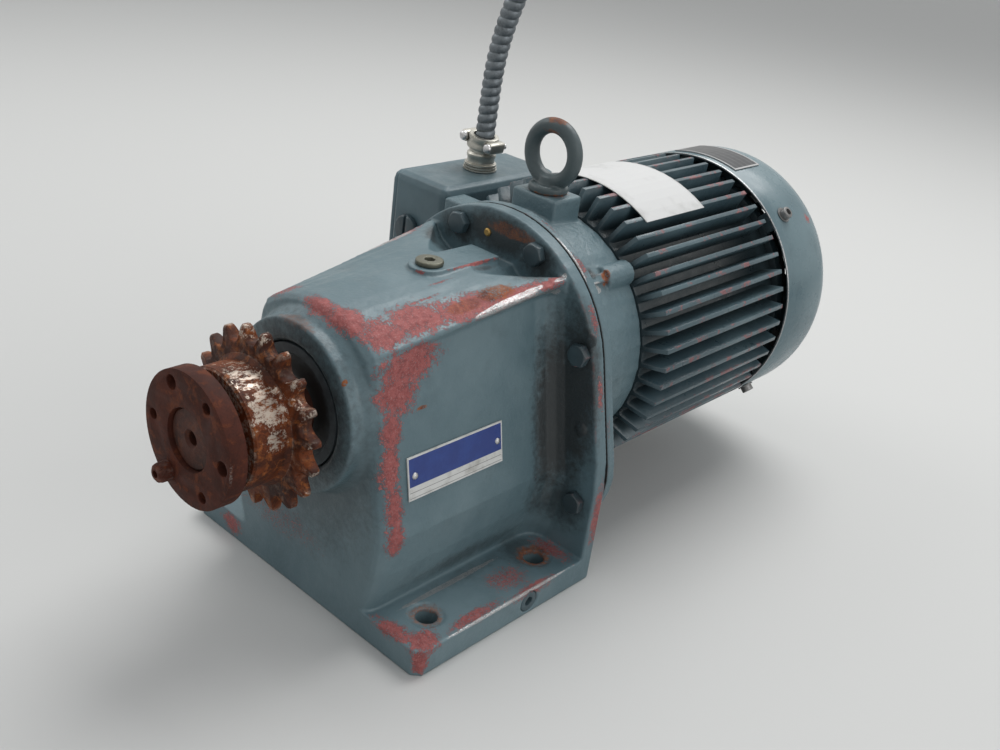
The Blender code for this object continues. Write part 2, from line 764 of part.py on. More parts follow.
def make_gear_housing():
    """The cast gear case with its foot, nose, joint flange, roof pad and bolt pockets."""
    front = -FOOT_LENGTH
    stations = [(front + depth, CASE_CORNER_INSET * share, 0) for depth, share in CASE_CORNER_STEPS]
    fillet = [
        (-CASE_FLANGE_THICKNESS - reach * FLANGE_FILLET, 0, share * FLANGE_FILLET)
        for reach, share in FILLET_STEPS
    ]
    straight_front, straight_rear = stations[-1][0], fillet[0][0]
    for share in CASE_STATION_SHARES:
        stations.append((straight_front + (straight_rear - straight_front) * share, 0, 0))
    stations += fillet
    stations.append((-CASE_FLANGE_THICKNESS - 0.0001, 0, FLANGE_FILLET))
    stations.append((-CASE_FLANGE_THICKNESS / 2, 0, FLANGE_FILLET))
    body = loft("gear_housing", [case_section(*station) for station in stations])
    # The flange is joined after these cuts, and closes their rear ends.
    hollows = []
    for side in (-1, 1):
        x, z = CASE_BOLTS[0]
        pocket = turned("pocket", [(SINK, 0), (SINK, POCKET_RADIUS), (-POCKET_LENGTH, POCKET_END_RADIUS),
                                   (-POCKET_LENGTH, 0)], SMALL_STEPS)
        pocket.location = (side * x, -CASE_FLANGE_THICKNESS / 2, z)
        pocket.rotation_euler = (0, 0, -side * math.atan2(POCKET_DRIFT, POCKET_LENGTH))
        hollows.append(pocket)
    x = TONGUE_RADIUS + GROOVE_MARGIN
    low = (-x, TONGUE_REAR - SINK, CROWN_REAR_Z - GROOVE_DEPTH)
    hollows.append(box("groove", low, (x, 0, EYE_BOSS_TOP)))
    cut(body, *hollows)
    half_foot = FOOT_WIDTH / 2
    foot_plan = [
        (-half_foot, 0), (half_foot, 0),
        (half_foot, front + FOOT_CORNER), (half_foot - FOOT_CORNER, front),
        (-half_foot + FOOT_CORNER, front), (-half_foot, front + FOOT_CORNER),
    ]
    foot = plan_plate("foot", foot_plan, -SHAFT_HEIGHT, -SHAFT_HEIGHT + FOOT_THICKNESS)
    flange = profile_plate("flange", case_flange_outline(), -CASE_FLANGE_THICKNESS, 0)
    nose_profile = [(NOSE_FACE, 0), (NOSE_FACE, NOSE_RADIUS - CHAMFER), (NOSE_FACE + CHAMFER, NOSE_RADIUS)]
    nose_profile += [(NOSE_FACE + depth, NOSE_RADIUS + growth) for depth, growth in NOSE_STEPS]
    nose_profile += [(NOSE_FACE + NOSE_DEPTH, NOSE_RADIUS + NOSE_STEPS[-1][1]), (NOSE_FACE + NOSE_DEPTH, 0)]
    nose = turned("nose", nose_profile)
    tongue_plan = [(-TONGUE_RADIUS, TONGUE_REAR)]
    tongue_plan += arc(TONGUE_RADIUS, math.pi, 2 * math.pi, 9, (0, TONGUE_FRONT))
    tongue_plan.append((TONGUE_RADIUS, TONGUE_REAR))
    tongue = plan_plate("tongue", tongue_plan, TONGUE_TOP - TONGUE_DEPTH, TONGUE_TOP)
    join(body, foot, flange, nose, tongue)
    cavity = profile_plate("cavity", cavity_outline(), CAVITY_FRONT, SINK)
    seat = OUTPUT_FRONT_BEARING[1] + SEAT_GAP
    seat_rear = OUTPUT_FRONT_STATION + OUTPUT_FRONT_BEARING[2] + SEAT_GAP
    bore_profile = [
        (NOSE_FACE - SINK, 0), (NOSE_FACE - SINK, NOSE_MOUTH_RADIUS + SINK),
        (NOSE_FACE + NOSE_MOUTH_RADIUS - seat, seat), (seat_rear, seat),
        (seat_rear, SHAFT_HOLE_RADIUS), (CAVITY_FRONT + SINK, SHAFT_HOLE_RADIUS),
        (CAVITY_FRONT + SINK, 0),
    ]
    bore = turned("bore", bore_profile)
    counter_rear = COUNTERSHAFT_FRONT_STATION + COUNTERSHAFT_BEARING[2]
    counter_seat = rod(
        "counter_seat", COUNTERSHAFT_FRONT_STATION - SEAT_GAP, counter_rear + SINK,
        COUNTERSHAFT_BEARING[1] + SEAT_GAP, SMALL_STEPS, on=countershaft_line,
    )
    holes = [cavity, bore, counter_seat]
    for x in (-FOOT_HOLE_X, FOOT_HOLE_X):
        for station in (front + FRONT_HOLE_EDGE, -REAR_HOLE_EDGE):
            top = -SHAFT_HEIGHT + FOOT_THICKNESS
            hole_profile = [
                (-SHAFT_HEIGHT - SINK, 0), (-SHAFT_HEIGHT - SINK, FOOT_HOLE_RADIUS),
                (top - SPOT_FACE_DEPTH, FOOT_HOLE_RADIUS), (top - SPOT_FACE_DEPTH, SPOT_FACE_RADIUS),
                (top + SINK, SPOT_FACE_RADIUS), (top + SINK, 0),
            ]
            hole = turned("hole", hole_profile, SMALL_STEPS, at=(x, station, 0), way=UPRIGHT)
            holes.append(hole)
    for x, z in bolt_places():
        clear = BOLT_RADIUS + SEAT_GAP
        hole = rod("hole", -CASE_FLANGE_THICKNESS - SINK, SINK, clear, 12, at=(x, 0, z))
        holes.append(hole)
    holes.append(vent_shape("hole", SEAT_GAP))
    holes.append(drain_shape("hole", SEAT_GAP))
    cut(body, *holes)
    return done(body, "case_paint")


def vent_shape(name, grow=0.0):
    """The vent plug's thread under its head, or with grow the hole that it screws into."""
    depth = TONGUE_TOP - CAVITY_RADIUS + 2 * SINK
    profile = [
        (TONGUE_TOP - depth, 0), (TONGUE_TOP - depth, VENT_THREAD_RADIUS + grow),
        (TONGUE_TOP + SINK, VENT_THREAD_RADIUS + grow), (TONGUE_TOP + SINK, 0),
    ]
    return turned(name, profile, 16, at=(0, VENT_STATION, 0), way=UPRIGHT)


def hex_outline(flats):
    return arc(flats / math.sqrt(3), 0, 5 * math.pi / 3, 6)


def make_vent_plug():
    """The screwed vent plug in the roof pad, with a hexagon socket."""
    bottom = TONGUE_TOP - VENT_REACH
    profile = [
        (bottom, 0), (bottom, VENT_THREAD_RADIUS), (TONGUE_TOP + SEAT_GAP, VENT_THREAD_RADIUS),
        (TONGUE_TOP + SEAT_GAP, VENT_RADIUS), (TONGUE_TOP + VENT_HEAD - SMALL_CHAMFER, VENT_RADIUS),
        (TONGUE_TOP + VENT_HEAD, VENT_RADIUS - SMALL_CHAMFER), (TONGUE_TOP + VENT_HEAD, 0),
    ]
    plug = turned("vent_plug", profile, 24, at=(0, VENT_STATION, 0), way=UPRIGHT)
    top = TONGUE_TOP + VENT_HEAD
    socket = sheet_mesh(hex_outline(SOCKET_FLATS), top - SOCKET_DEPTH, top + SINK, UPRIGHT)
    cut(plug, place("socket", socket, (0, VENT_STATION, 0)))
    return done(plug, "dark_steel")


def drain_shape(name, grow=0.0):
    """The counterbore and thread for the drain plug in the foot's right side."""
    side = FOOT_WIDTH / 2
    seat = side - DRAIN_DEPTH
    profile = [
        (seat - DRAIN_THREAD - grow, 0), (seat - DRAIN_THREAD - grow, DRAIN_THREAD_RADIUS + grow),
        (seat, DRAIN_THREAD_RADIUS + grow), (seat, DRAIN_RADIUS + grow),
        (side + SINK, DRAIN_RADIUS + grow), (side + SINK, 0),
    ]
    return turned(name, profile, SMALL_STEPS, at=(0, DRAIN_STATION, DRAIN_Z), way=ALONG_X)


def make_drain_plug():
    """The drain plug, set flush in the side of the foot."""
    side = FOOT_WIDTH / 2
    seat = side - DRAIN_DEPTH + SEAT_GAP
    profile = [
        (seat - DRAIN_THREAD, 0), (seat - DRAIN_THREAD, DRAIN_THREAD_RADIUS),
        (seat, DRAIN_THREAD_RADIUS), (seat, DRAIN_RADIUS),
        (side - DRAIN_FLUSH - SMALL_CHAMFER, DRAIN_RADIUS),
        (side - DRAIN_FLUSH, DRAIN_RADIUS - SMALL_CHAMFER), (side - DRAIN_FLUSH, 0),
    ]
    at = (0, DRAIN_STATION, DRAIN_Z)
    plug = turned("drain_plug", profile, SMALL_STEPS, at=at, way=ALONG_X)
    socket = sheet_mesh(hex_outline(SOCKET_FLATS), side - SOCKET_DEPTH, side + SINK, ALONG_X)
    cut(plug, place("socket", socket, at))
    return done(plug, "case_paint")


def adapter_face():
    """The station of the adapter's front face, behind the gasket."""
    return GASKET_THICKNESS + 2 * SEAT_GAP


def make_gasket():
    """The thin gasket between gear case and adapter."""
    holes = [cavity_outline()]
    for x, z in bolt_places():
        holes.append(arc(BOLT_RADIUS + RUN_GAP, 0, 7 * math.pi / 4, 8, (x, z)))
    outline = adapter_outline()
    gasket = profile_plate("joint_gasket", outline, SEAT_GAP, SEAT_GAP + GASKET_THICKNESS, holes)
    return done(gasket, "rubber")


def make_case_bolts():
    """The six hexagon bolts through the case flange into the adapter."""
    seat = -CASE_FLANGE_THICKNESS - SEAT_GAP
    for number, (x, z) in enumerate(bolt_places(), 1):
        name = f"case_bolt_{number}"
        head_mesh = sheet_mesh(hex_outline(BOLT_FLATS), seat - BOLT_HEAD, seat, FACING_Y)
        bolt = place(name, head_mesh, (x, 0, z))
        shank = rod("shank", seat - SINK, seat + BOLT_REACH, BOLT_RADIUS, 12, at=(x, 0, z))
        join(bolt, shank)
        done(bolt, "case_paint")


def involute(angle):
    return math.tan(angle) - angle


def gear_outline(teeth, phase):
    """A spur gear's outline with a tooth centred at the phase angle. Each flank is drawn by its ends,
    and a small pinion's also by its middle."""
    pitch_radius = MODULE * teeth / 2
    base = pitch_radius * math.cos(PRESSURE_ANGLE)
    tip = pitch_radius + ADDENDUM * MODULE
    root = pitch_radius - DEDENDUM * MODULE
    half_pitch = math.pi / (2 * teeth) - BACKLASH / (2 * pitch_radius)

    def half_angle(radius):
        inside = math.acos(min(1.0, base / radius))
        return half_pitch + involute(PRESSURE_ANGLE) - involute(inside)

    flank = [root, pitch_radius, tip] if teeth < FIRST_WHEEL_TEETH / 2 else [root, tip]
    points = []
    for tooth in range(teeth):
        centre = phase + 2 * math.pi * tooth / teeth
        for radius in flank:
            points.append(polar(radius, centre - half_angle(radius)))
        for radius in reversed(flank):
            points.append(polar(radius, centre + half_angle(radius)))
    return points


def make_motor_pinion():
    """The first-stage pinion on the motor shaft, a tooth pointing straight down."""
    front = FIRST_STAGE_FRONT - PINION_OVERHANG
    rear = FIRST_STAGE_FRONT + FIRST_STAGE_WIDTH + PINION_OVERHANG
    bore = arc(PINION_SEAT_RADIUS + SEAT_GAP, 0, 15 * math.pi / 8, 16)
    outline = gear_outline(MOTOR_PINION_TEETH, -math.pi / 2)
    return done(profile_plate("motor_pinion", outline, front, rear, [bore]), "bright_steel")


def countershaft_journal():
    return COUNTERSHAFT_BEARING[0] - SEAT_GAP


def first_wheel_bore():
    return MODULE * SECOND_PINION_TEETH / 2 - WHEEL_SEAT_STEP


def make_countershaft_gear():
    """The first-stage wheel, a gap pointing straight up at the motor pinion."""
    front = FIRST_STAGE_FRONT
    rear = front + FIRST_STAGE_WIDTH
    bore = arc(first_wheel_bore() + SEAT_GAP, 0, 23 * math.pi / 12, 24)
    phase = math.pi / 2 + math.pi / FIRST_WHEEL_TEETH
    outline = gear_outline(FIRST_WHEEL_TEETH, phase)
    wheel = profile_plate("countershaft_gear", outline, front, rear, [bore], countershaft_line)
    return done(wheel, "bright_steel")


def make_countershaft():
    """The countershaft with the second-stage pinion cut on it, a tooth pointing straight up."""
    journal = countershaft_journal()
    seat = first_wheel_bore()
    front = COUNTERSHAFT_FRONT_STATION + SEAT_GAP
    shoulder = COUNTERSHAFT_FRONT_STATION + COUNTERSHAFT_BEARING[2] + SEAT_GAP
    wheel_rear = FIRST_STAGE_FRONT + FIRST_STAGE_WIDTH
    rear_shoulder = COUNTERSHAFT_REAR_STATION - SEAT_GAP
    rear = COUNTERSHAFT_REAR_STATION + COUNTERSHAFT_BEARING[2]
    profile = [
        (front, 0), (front, journal), (shoulder, journal), (shoulder, seat),
        (wheel_rear + RUN_GAP, seat), (wheel_rear + RUN_GAP, journal + SHOULDER_STEP),
        (rear_shoulder, journal + SHOULDER_STEP), (rear_shoulder, journal), (rear, journal), (rear, 0),
    ]
    shaft = turned("countershaft", profile, SMALL_STEPS, on=countershaft_line)
    pinion = profile_plate(
        "pinion", gear_outline(SECOND_PINION_TEETH, math.pi / 2),
        SECOND_STAGE_FRONT - PINION_OVERHANG,
        SECOND_STAGE_FRONT + SECOND_STAGE_WIDTH + PINION_OVERHANG, (), countershaft_line,
    )
    join(shaft, pinion)
    return done(shaft, "bright_steel")


def make_output_gear():
    """The second-stage wheel on the output shaft, a gap pointing straight down."""
    front = SECOND_STAGE_FRONT
    rear = front + SECOND_STAGE_WIDTH
    bore = arc(GEAR_SEAT_RADIUS + SEAT_GAP, 0, 23 * math.pi / 12, 24)
    phase = -math.pi / 2 + math.pi / OUTPUT_WHEEL_TEETH
    outline = gear_outline(OUTPUT_WHEEL_TEETH, phase)
    return done(profile_plate("output_gear", outline, front, rear, [bore]), "bright_steel")


def make_bearing(name, bearing, station, steps=SMALL_STEPS, on=shaft_line):
    """A ball bearing as its outer ring, and its inner ring with the row of balls round it."""
    inner, outer, width = bearing
    rear = station + width
    middle = station + width / 2
    wall = (outer - inner) * RING_WALL
    groove = outer - wall * GROOVE_SHARE
    outer_profile = [
        (station, outer), (rear, outer), (rear, outer - wall), (middle, groove + BALL_GAP),
        (station, outer - wall),
    ]
    done(turned(f"{name}_outer_ring", outer_profile, steps, on), "bright_steel")
    inner_profile = [
        (station, inner), (rear, inner), (rear, inner + wall), (middle, groove - BALL_GAP),
        (station, inner + wall),
    ]
    done(turned(f"{name}_inner_ring", inner_profile, steps, on), "bright_steel")


def plate_front():
    return OUTPUT_REAR_STATION - PLATE_LIP


def make_bearing_plate():
    """The inner plate that carries the output shaft's rear bearing, across the gear space."""
    front = plate_front()
    rear = OUTPUT_REAR_STATION + OUTPUT_REAR_BEARING[2] + SEAT_GAP
    outline = cavity_outline(CAVITY_RADIUS - SEAT_GAP)
    shaft_hole = arc(first_wheel_bore() + PLATE_HOLE_MARGIN, 0, 15 * math.pi / 8, 16, (0, -CENTRE_DISTANCE))
    plate = profile_plate("bearing_plate", outline, front, rear, [shaft_hole])
    seat = OUTPUT_REAR_BEARING[1] + SEAT_GAP
    lip = OUTPUT_REAR_BEARING[1] - BEARING_LIP
    pocket = turned("pocket", [
        (front - SINK, 0), (front - SINK, lip), (OUTPUT_REAR_STATION - SEAT_GAP, lip),
        (OUTPUT_REAR_STATION - SEAT_GAP, seat), (rear + SINK, seat), (rear + SINK, 0),
    ])
    cut(plate, pocket)
    return done(plate, "lamination")


def key_box(name, grow_side=0.0, grow_end=0.0, grow_height=0.0):
    """The block of the output key, grown where it stands for its slot."""
    half = KEY_WIDTH / 2 + grow_side
    bottom = SHAFT_RADIUS - KEY_DEPTH - grow_height
    top = SHAFT_RADIUS - KEY_DEPTH + KEY_HEIGHT + grow_height
    return box(name, (-half, KEY_FRONT - grow_end, bottom), (half, KEY_REAR + grow_end, top))


def make_output_shaft():
    """The stepped output shaft, with its keyway and the centre drilling in its end."""
    journal = OUTPUT_FRONT_BEARING[0] - SEAT_GAP
    rear_journal = OUTPUT_REAR_BEARING[0] - SEAT_GAP
    shoulder_front = OUTPUT_FRONT_STATION + OUTPUT_FRONT_BEARING[2] + SEAT_GAP
    gear_front = SECOND_STAGE_FRONT - SEAT_GAP
    gear_rear = SECOND_STAGE_FRONT + SECOND_STAGE_WIDTH
    rear_shoulder = OUTPUT_REAR_STATION - SEAT_GAP
    rear = OUTPUT_REAR_STATION + OUTPUT_REAR_BEARING[2]
    drill_end = SHAFT_END + CENTRE_DRILL_DEPTH
    step = rear_journal + REAR_JOURNAL_STEP
    profile = [
        (drill_end, 0), (drill_end - CENTRE_DRILL_TIP, CENTRE_DRILL_RADIUS),
        (SHAFT_END + CENTRE_DRILL_MOUTH, CENTRE_DRILL_RADIUS),
        (SHAFT_END, CENTRE_DRILL_RADIUS + CENTRE_DRILL_MOUTH),
        (SHAFT_END, journal - CHAMFER), (SHAFT_END + CHAMFER, journal),
        (shoulder_front, journal), (shoulder_front, SHAFT_SHOULDER_RADIUS),
        (gear_front, SHAFT_SHOULDER_RADIUS), (gear_front, GEAR_SEAT_RADIUS),
        (gear_rear + SEAT_GAP, GEAR_SEAT_RADIUS), (gear_rear + SEAT_GAP, step),
        (rear_shoulder, step), (rear_shoulder, rear_journal), (rear, rear_journal), (rear, 0),
    ]
    shaft = turned("output_shaft", profile)
    cut(shaft, key_box("slot", SEAT_GAP, SEAT_GAP, SEAT_GAP))
    return done(shaft, "brown_steel")


def make_output_key():
    """The parallel key that drives the bushing."""
    return done(key_box("output_key"), "dark_steel")


def make_output_seal():
    """The rotary shaft seal in the nose, with a running gap round the shaft."""
    outer, inner = OUTPUT_FRONT_BEARING[1], OUTPUT_FRONT_BEARING[0] - SEAT_GAP + RUN_GAP
    front, rear = SEAL_FRONT, SEAL_FRONT + SEAL_WIDTH
    profile = [
        (front, outer), (rear, outer), (rear, inner), (front, inner),
        (front + SEAL_DISH, inner + SEAL_LIP), (front + SEAL_DISH, outer - SEAL_RIM - CHAMFER),
        (front, outer - SEAL_RIM),
    ]
    return done(turned("output_seal", profile), "rubber")


def bushing_radius(station):
    """The bushing barrel's radius at a station, which narrows towards the gear case."""
    share = (station - SPROCKET_HUB_FRONT) / (SPROCKET_PLATE_FRONT - SPROCKET_HUB_FRONT)
    return BUSHING_BARREL_RADIUS - BUSHING_TAPER * share


def screw_place(k):
    """Where the k-th large hole of the bushing flange stands."""
    return polar(BUSHING_HOLE_CIRCLE, BUSHING_SCREW_ANGLE + 2 * math.pi * k / 3)


def make_taper_bushing():
    """The flanged taper bushing between shaft and sprocket."""
    bore = SHAFT_RADIUS
    flange_rear = BUSHING_FACE + BUSHING_FLANGE
    end = SPROCKET_PLATE_FRONT + SPROCKET_PLATE / 2
    profile = [
        (BUSHING_FACE, bore + BUSHING_BORE_CHAMFER), (BUSHING_FACE + BUSHING_BORE_CHAMFER, bore),
        (end, bore), (end, bushing_radius(end)),
        (flange_rear, bushing_radius(flange_rear)), (flange_rear, BUSHING_RADIUS),
        (BUSHING_FACE + BUSHING_CHAMFER, BUSHING_RADIUS), (BUSHING_FACE, BUSHING_RADIUS - BUSHING_CHAMFER),
    ]
    bushing = turned("taper_bushing", profile)
    holes = [key_box("slot", SEAT_GAP, SEAT_GAP, SEAT_GAP)]
    for k in range(3):
        x, z = screw_place(k)
        holes.append(rod("hole", BUSHING_FACE - SINK, flange_rear + SINK / 2, BUSHING_LARGE_HOLE, 14,
                         at=(x, 0, z)))
        x, z = polar(BUSHING_HOLE_CIRCLE, BUSHING_SCREW_ANGLE + math.pi + 2 * math.pi * k / 3)
        holes.append(rod("hole", BUSHING_FACE - SINK, flange_rear + SINK / 2, BUSHING_SMALL_HOLE, 14,
                         at=(x, 0, z)))
    cut(bushing, *holes)
    return done(bushing, "brown_steel")


def make_bushing_screw():
    """The one round-headed screw that the photograph shows in the bushing."""
    x, z = screw_place(0)
    seat = BUSHING_FACE - SEAT_GAP
    tip = SPROCKET_HUB_FRONT + SCREW_REACH - SINK
    profile = [
        (seat - SCREW_HEAD, 0), (seat - SCREW_HEAD, SCREW_HEAD_RADIUS * 0.6),
        (seat - SCREW_HEAD * 0.85, SCREW_HEAD_RADIUS * 0.93), (seat - SCREW_HEAD * 0.6, SCREW_HEAD_RADIUS),
        (seat, SCREW_HEAD_RADIUS), (seat, SCREW_RADIUS), (tip, SCREW_RADIUS), (tip, 0),
    ]
    return done(turned("bushing_screw", profile, 16, at=(x, 0, z)), "brown_steel")


def sprocket_outline():
    """The sprocket's tooth outline: a round seat for each roller, and a blunt tip between seats."""
    pitch_radius = CHAIN_PITCH / (2 * math.sin(math.pi / SPROCKET_TEETH))
    seat = ROLLER_RADIUS + ROLLER_PLAY
    points = []
    for tooth in range(SPROCKET_TEETH):
        tip_angle = SPROCKET_PHASE + 2 * math.pi * tooth / SPROCKET_TEETH
        seat_angle = tip_angle + math.pi / SPROCKET_TEETH
        for offset in (-TIP_HALF_ANGLE, TIP_HALF_ANGLE):
            points.append(polar(SPROCKET_TIP_RADIUS, tip_angle + offset))
        cx, cz = polar(pitch_radius, seat_angle)
        for swing in SEAT_SWINGS:
            angle = seat_angle + math.pi - math.radians(swing)
            points.append((cx + seat * math.cos(angle), cz + seat * math.sin(angle)))
    return points


def make_sprocket():
    """The chain sprocket: hub, tooth plate and tapered bore."""
    plate_rear = SPROCKET_PLATE_FRONT + SPROCKET_PLATE
    sprocket = profile_plate("sprocket", sprocket_outline(), SPROCKET_PLATE_FRONT, plate_rear)
    chamfer = SPROCKET_PLATE * TIP_CHAMFER_SHARE
    inner = SPROCKET_TIP_RADIUS - TIP_CHAMFER_REACH
    envelope = turned("envelope", [
        (SPROCKET_PLATE_FRONT - SINK, 0), (SPROCKET_PLATE_FRONT - SINK, inner),
        (SPROCKET_PLATE_FRONT + chamfer, SPROCKET_TIP_RADIUS + SINK),
        (plate_rear - chamfer, SPROCKET_TIP_RADIUS + SINK),
        (plate_rear + SINK, inner), (plate_rear + SINK, 0),
    ])
    keep_common(sprocket, envelope)
    hub = rod("hub", SPROCKET_HUB_FRONT, SPROCKET_PLATE_FRONT + SINK, SPROCKET_HUB_RADIUS)
    join(sprocket, hub)
    front, rear = SPROCKET_HUB_FRONT - SINK, plate_rear + SINK
    bore = turned("bore", [
        (front, 0), (front, bushing_radius(front) + SEAT_GAP), (rear, bushing_radius(rear) + SEAT_GAP),
        (rear, 0),
    ])
    holes = [bore]
    for k in range(3):
        x, z = screw_place(k)
        depth = SPROCKET_HUB_FRONT + SCREW_REACH
        hole = rod("hole", SPROCKET_HUB_FRONT - SINK, depth, SCREW_RADIUS + SEAT_GAP, 12, at=(x, 0, z))
        holes.append(hole)
    cut(sprocket, *holes)
    return done(sprocket, "rusty_steel")


def make_drive_end_shield():
    """The cast adapter that joins motor to gear case and carries the motor's front bearing."""
    face = adapter_face()
    flange_rear = face + ADAPTER_FLANGE_THICKNESS
    shield = profile_plate("drive_end_shield", adapter_outline(), face, flange_rear)
    middle = (flange_rear + ADAPTER_END) / 2
    middle_radius = ADAPTER_END_RADIUS + (ADAPTER_RADIUS - ADAPTER_END_RADIUS) * BARREL_SHARE
    barrel = turned("barrel", [
        (face + SINK, 0), (face + SINK, ADAPTER_RADIUS), (flange_rear, ADAPTER_RADIUS),
        (middle, middle_radius + BARREL_BULGE),
        (ADAPTER_END, ADAPTER_END_RADIUS), (ADAPTER_END, 0),
    ])
    pieces = [barrel]
    for quarter in range(4):
        angle = LUG_ANGLE + quarter * math.pi / 2
        x, z = polar(LUG_CIRCLE, angle)
        pieces.append(rod("lug", LUG_FRONT, ADAPTER_END, LUG_RADIUS, 16, at=(x, 0, z)))
        web = box("web", (LUG_WEB_INNER, flange_rear - SINK, -LUG_WEB_HALF),
                  (LUG_WEB_OUTER, LUG_FRONT + SINK, LUG_WEB_HALF))
        web.rotation_euler = (0, -angle, 0)
        pieces.append(web)
    pieces.append(box("boss", (-EYE_BOSS_HALF_WIDTH, EYE_BOSS_FRONT, BOSS_FOOT_Z),
                      (EYE_BOSS_HALF_WIDTH, EYE_BOSS_REAR, EYE_BOSS_TOP), BOSS_EDGE))
    pieces.append(box("platform", (BOX_INNER_X + SEAT_GAP, PLATFORM_FRONT, PLATFORM_BOTTOM),
                      (PLATFORM_INNER_X, ADAPTER_END, PLATFORM_TOP), BOSS_EDGE))
    join(shield, *pieces)
    hollow = ring(
        "hollow", ADAPTER_WEB, ADAPTER_END + SINK, MOTOR_BEARING[1] + BEARING_WALL,
        ADAPTER_END_RADIUS - ADAPTER_WALL,
    )
    bearing_rear = MOTOR_FRONT_STATION + MOTOR_BEARING[2]
    seat = MOTOR_BEARING[1] + SEAT_GAP
    seal_front = MOTOR_FRONT_STATION - MOTOR_SEAL_WIDTH - MOTOR_SEAL_GAP
    bore = turned("bore", [
        (face - SINK, 0), (face - SINK, ROTOR_HOLE_RADIUS), (seal_front - SEAT_GAP, ROTOR_HOLE_RADIUS),
        (seal_front - SEAT_GAP, MOTOR_SEAL_RADIUS + SEAT_GAP),
        (MOTOR_FRONT_STATION - SEAT_GAP, MOTOR_SEAL_RADIUS + SEAT_GAP),
        (MOTOR_FRONT_STATION - SEAT_GAP, seat), (bearing_rear, seat),
        (bearing_rear, seat + BEARING_WALL + SINK), (ADAPTER_END + SINK, seat + BEARING_WALL + SINK),
        (ADAPTER_END + SINK, 0),
    ])
    counter_rear = COUNTERSHAFT_REAR_STATION + COUNTERSHAFT_BEARING[2] + SEAT_GAP
    counter_seat = rod("seat", face - SINK, counter_rear, COUNTERSHAFT_BEARING[1] + SEAT_GAP,
                       SMALL_STEPS, on=countershaft_line)
    shank_bottom = EYE_BOSS_TOP - EYE_SHANK_LENGTH - SINK
    eye_hole = turned("hole", [
        (shank_bottom, 0), (shank_bottom, EYE_SHANK_RADIUS + SEAT_GAP),
        (EYE_BOSS_TOP + SINK, EYE_SHANK_RADIUS + SEAT_GAP), (EYE_BOSS_TOP + SINK, 0),
    ], 16, at=(0, EYE_STATION, 0), way=UPRIGHT)
    holes = [hollow, bore, counter_seat, eye_hole]
    for x, z in bolt_places():
        holes.append(rod("hole", face - SINK, flange_rear + SINK, BOLT_RADIUS + SEAT_GAP, 12, at=(x, 0, z)))
    cut(shield, *holes)
    return done(shield, "case_paint")


def make_motor_seal():
    """The seal that keeps gear oil out of the motor."""
    rear = MOTOR_FRONT_STATION - SEAT_GAP - MOTOR_SEAL_GAP
    inner = MOTOR_BEARING[0] - SEAT_GAP + RUN_GAP
    seal = ring("motor_seal", rear - MOTOR_SEAL_WIDTH, rear, inner, MOTOR_SEAL_RADIUS, 24)
    return done(seal, "rubber")


def make_eye_bolt():
    """The lifting eye screwed into the boss on the adapter."""
    work = bmesh.new()
    loops = []
    around, across = 20, 8
    for i in range(around):
        a = 2 * math.pi * i / around
        loop = []
        for j in range(across):
            b = 2 * math.pi * j / across
            radius = EYE_RING_RADIUS + EYE_WIRE_RADIUS * math.cos(b)
            loop.append(work.verts.new((radius * math.cos(a), EYE_WIRE_RADIUS * math.sin(b),
                                        radius * math.sin(a))))
        loops.append(loop)
    for i in range(around):
        near, far = loops[i], loops[(i + 1) % around]
        for j in range(across):
            k = (j + 1) % across
            work.faces.new((near[j], near[k], far[k], far[j]))
    bmesh.ops.recalc_face_normals(work, faces=work.faces)
    eye = place("eye_bolt", mesh_from(work), (0, EYE_STATION, EYE_CENTRE_Z))
    seat = EYE_BOSS_TOP + SEAT_GAP
    ring_foot = EYE_CENTRE_Z - EYE_RING_RADIUS
    base = turned("base", [
        (seat - EYE_SHANK_LENGTH, 0), (seat - EYE_SHANK_LENGTH, EYE_SHANK_RADIUS),
        (seat, EYE_SHANK_RADIUS), (seat, EYE_COLLAR_RADIUS),
        (seat + EYE_COLLAR_HEIGHT * 0.6, EYE_COLLAR_RADIUS),
        (seat + EYE_COLLAR_HEIGHT, EYE_COLLAR_RADIUS * 0.75),
        (ring_foot + 0.002, EYE_COLLAR_RADIUS * 0.45), (ring_foot + 0.002, 0),
    ], SMALL_STEPS, at=(0, EYE_STATION, 0), way=UPRIGHT)
    join(eye, base)
    return done(eye, "case_paint")


def fin_section(station, crest):
    """The ribbed frame's outline at a station, with its fins as tall as crest."""
    points = []
    for fin in range(FIN_COUNT):
        centre = FIN_PHASE + 2 * math.pi * fin / FIN_COUNT
        root_half = FIN_ROOT_THICKNESS / 2 / FIN_VALLEY_RADIUS
        crest_half = FIN_CREST_THICKNESS / 2 / FIN_CREST_RADIUS
        for radius, swing in (
            (FIN_VALLEY_RADIUS, -root_half), (crest, -crest_half),
            (crest, crest_half), (FIN_VALLEY_RADIUS, root_half),
        ):
            x, z = polar(radius, centre + swing)
            points.append((x, station, z))
    return points


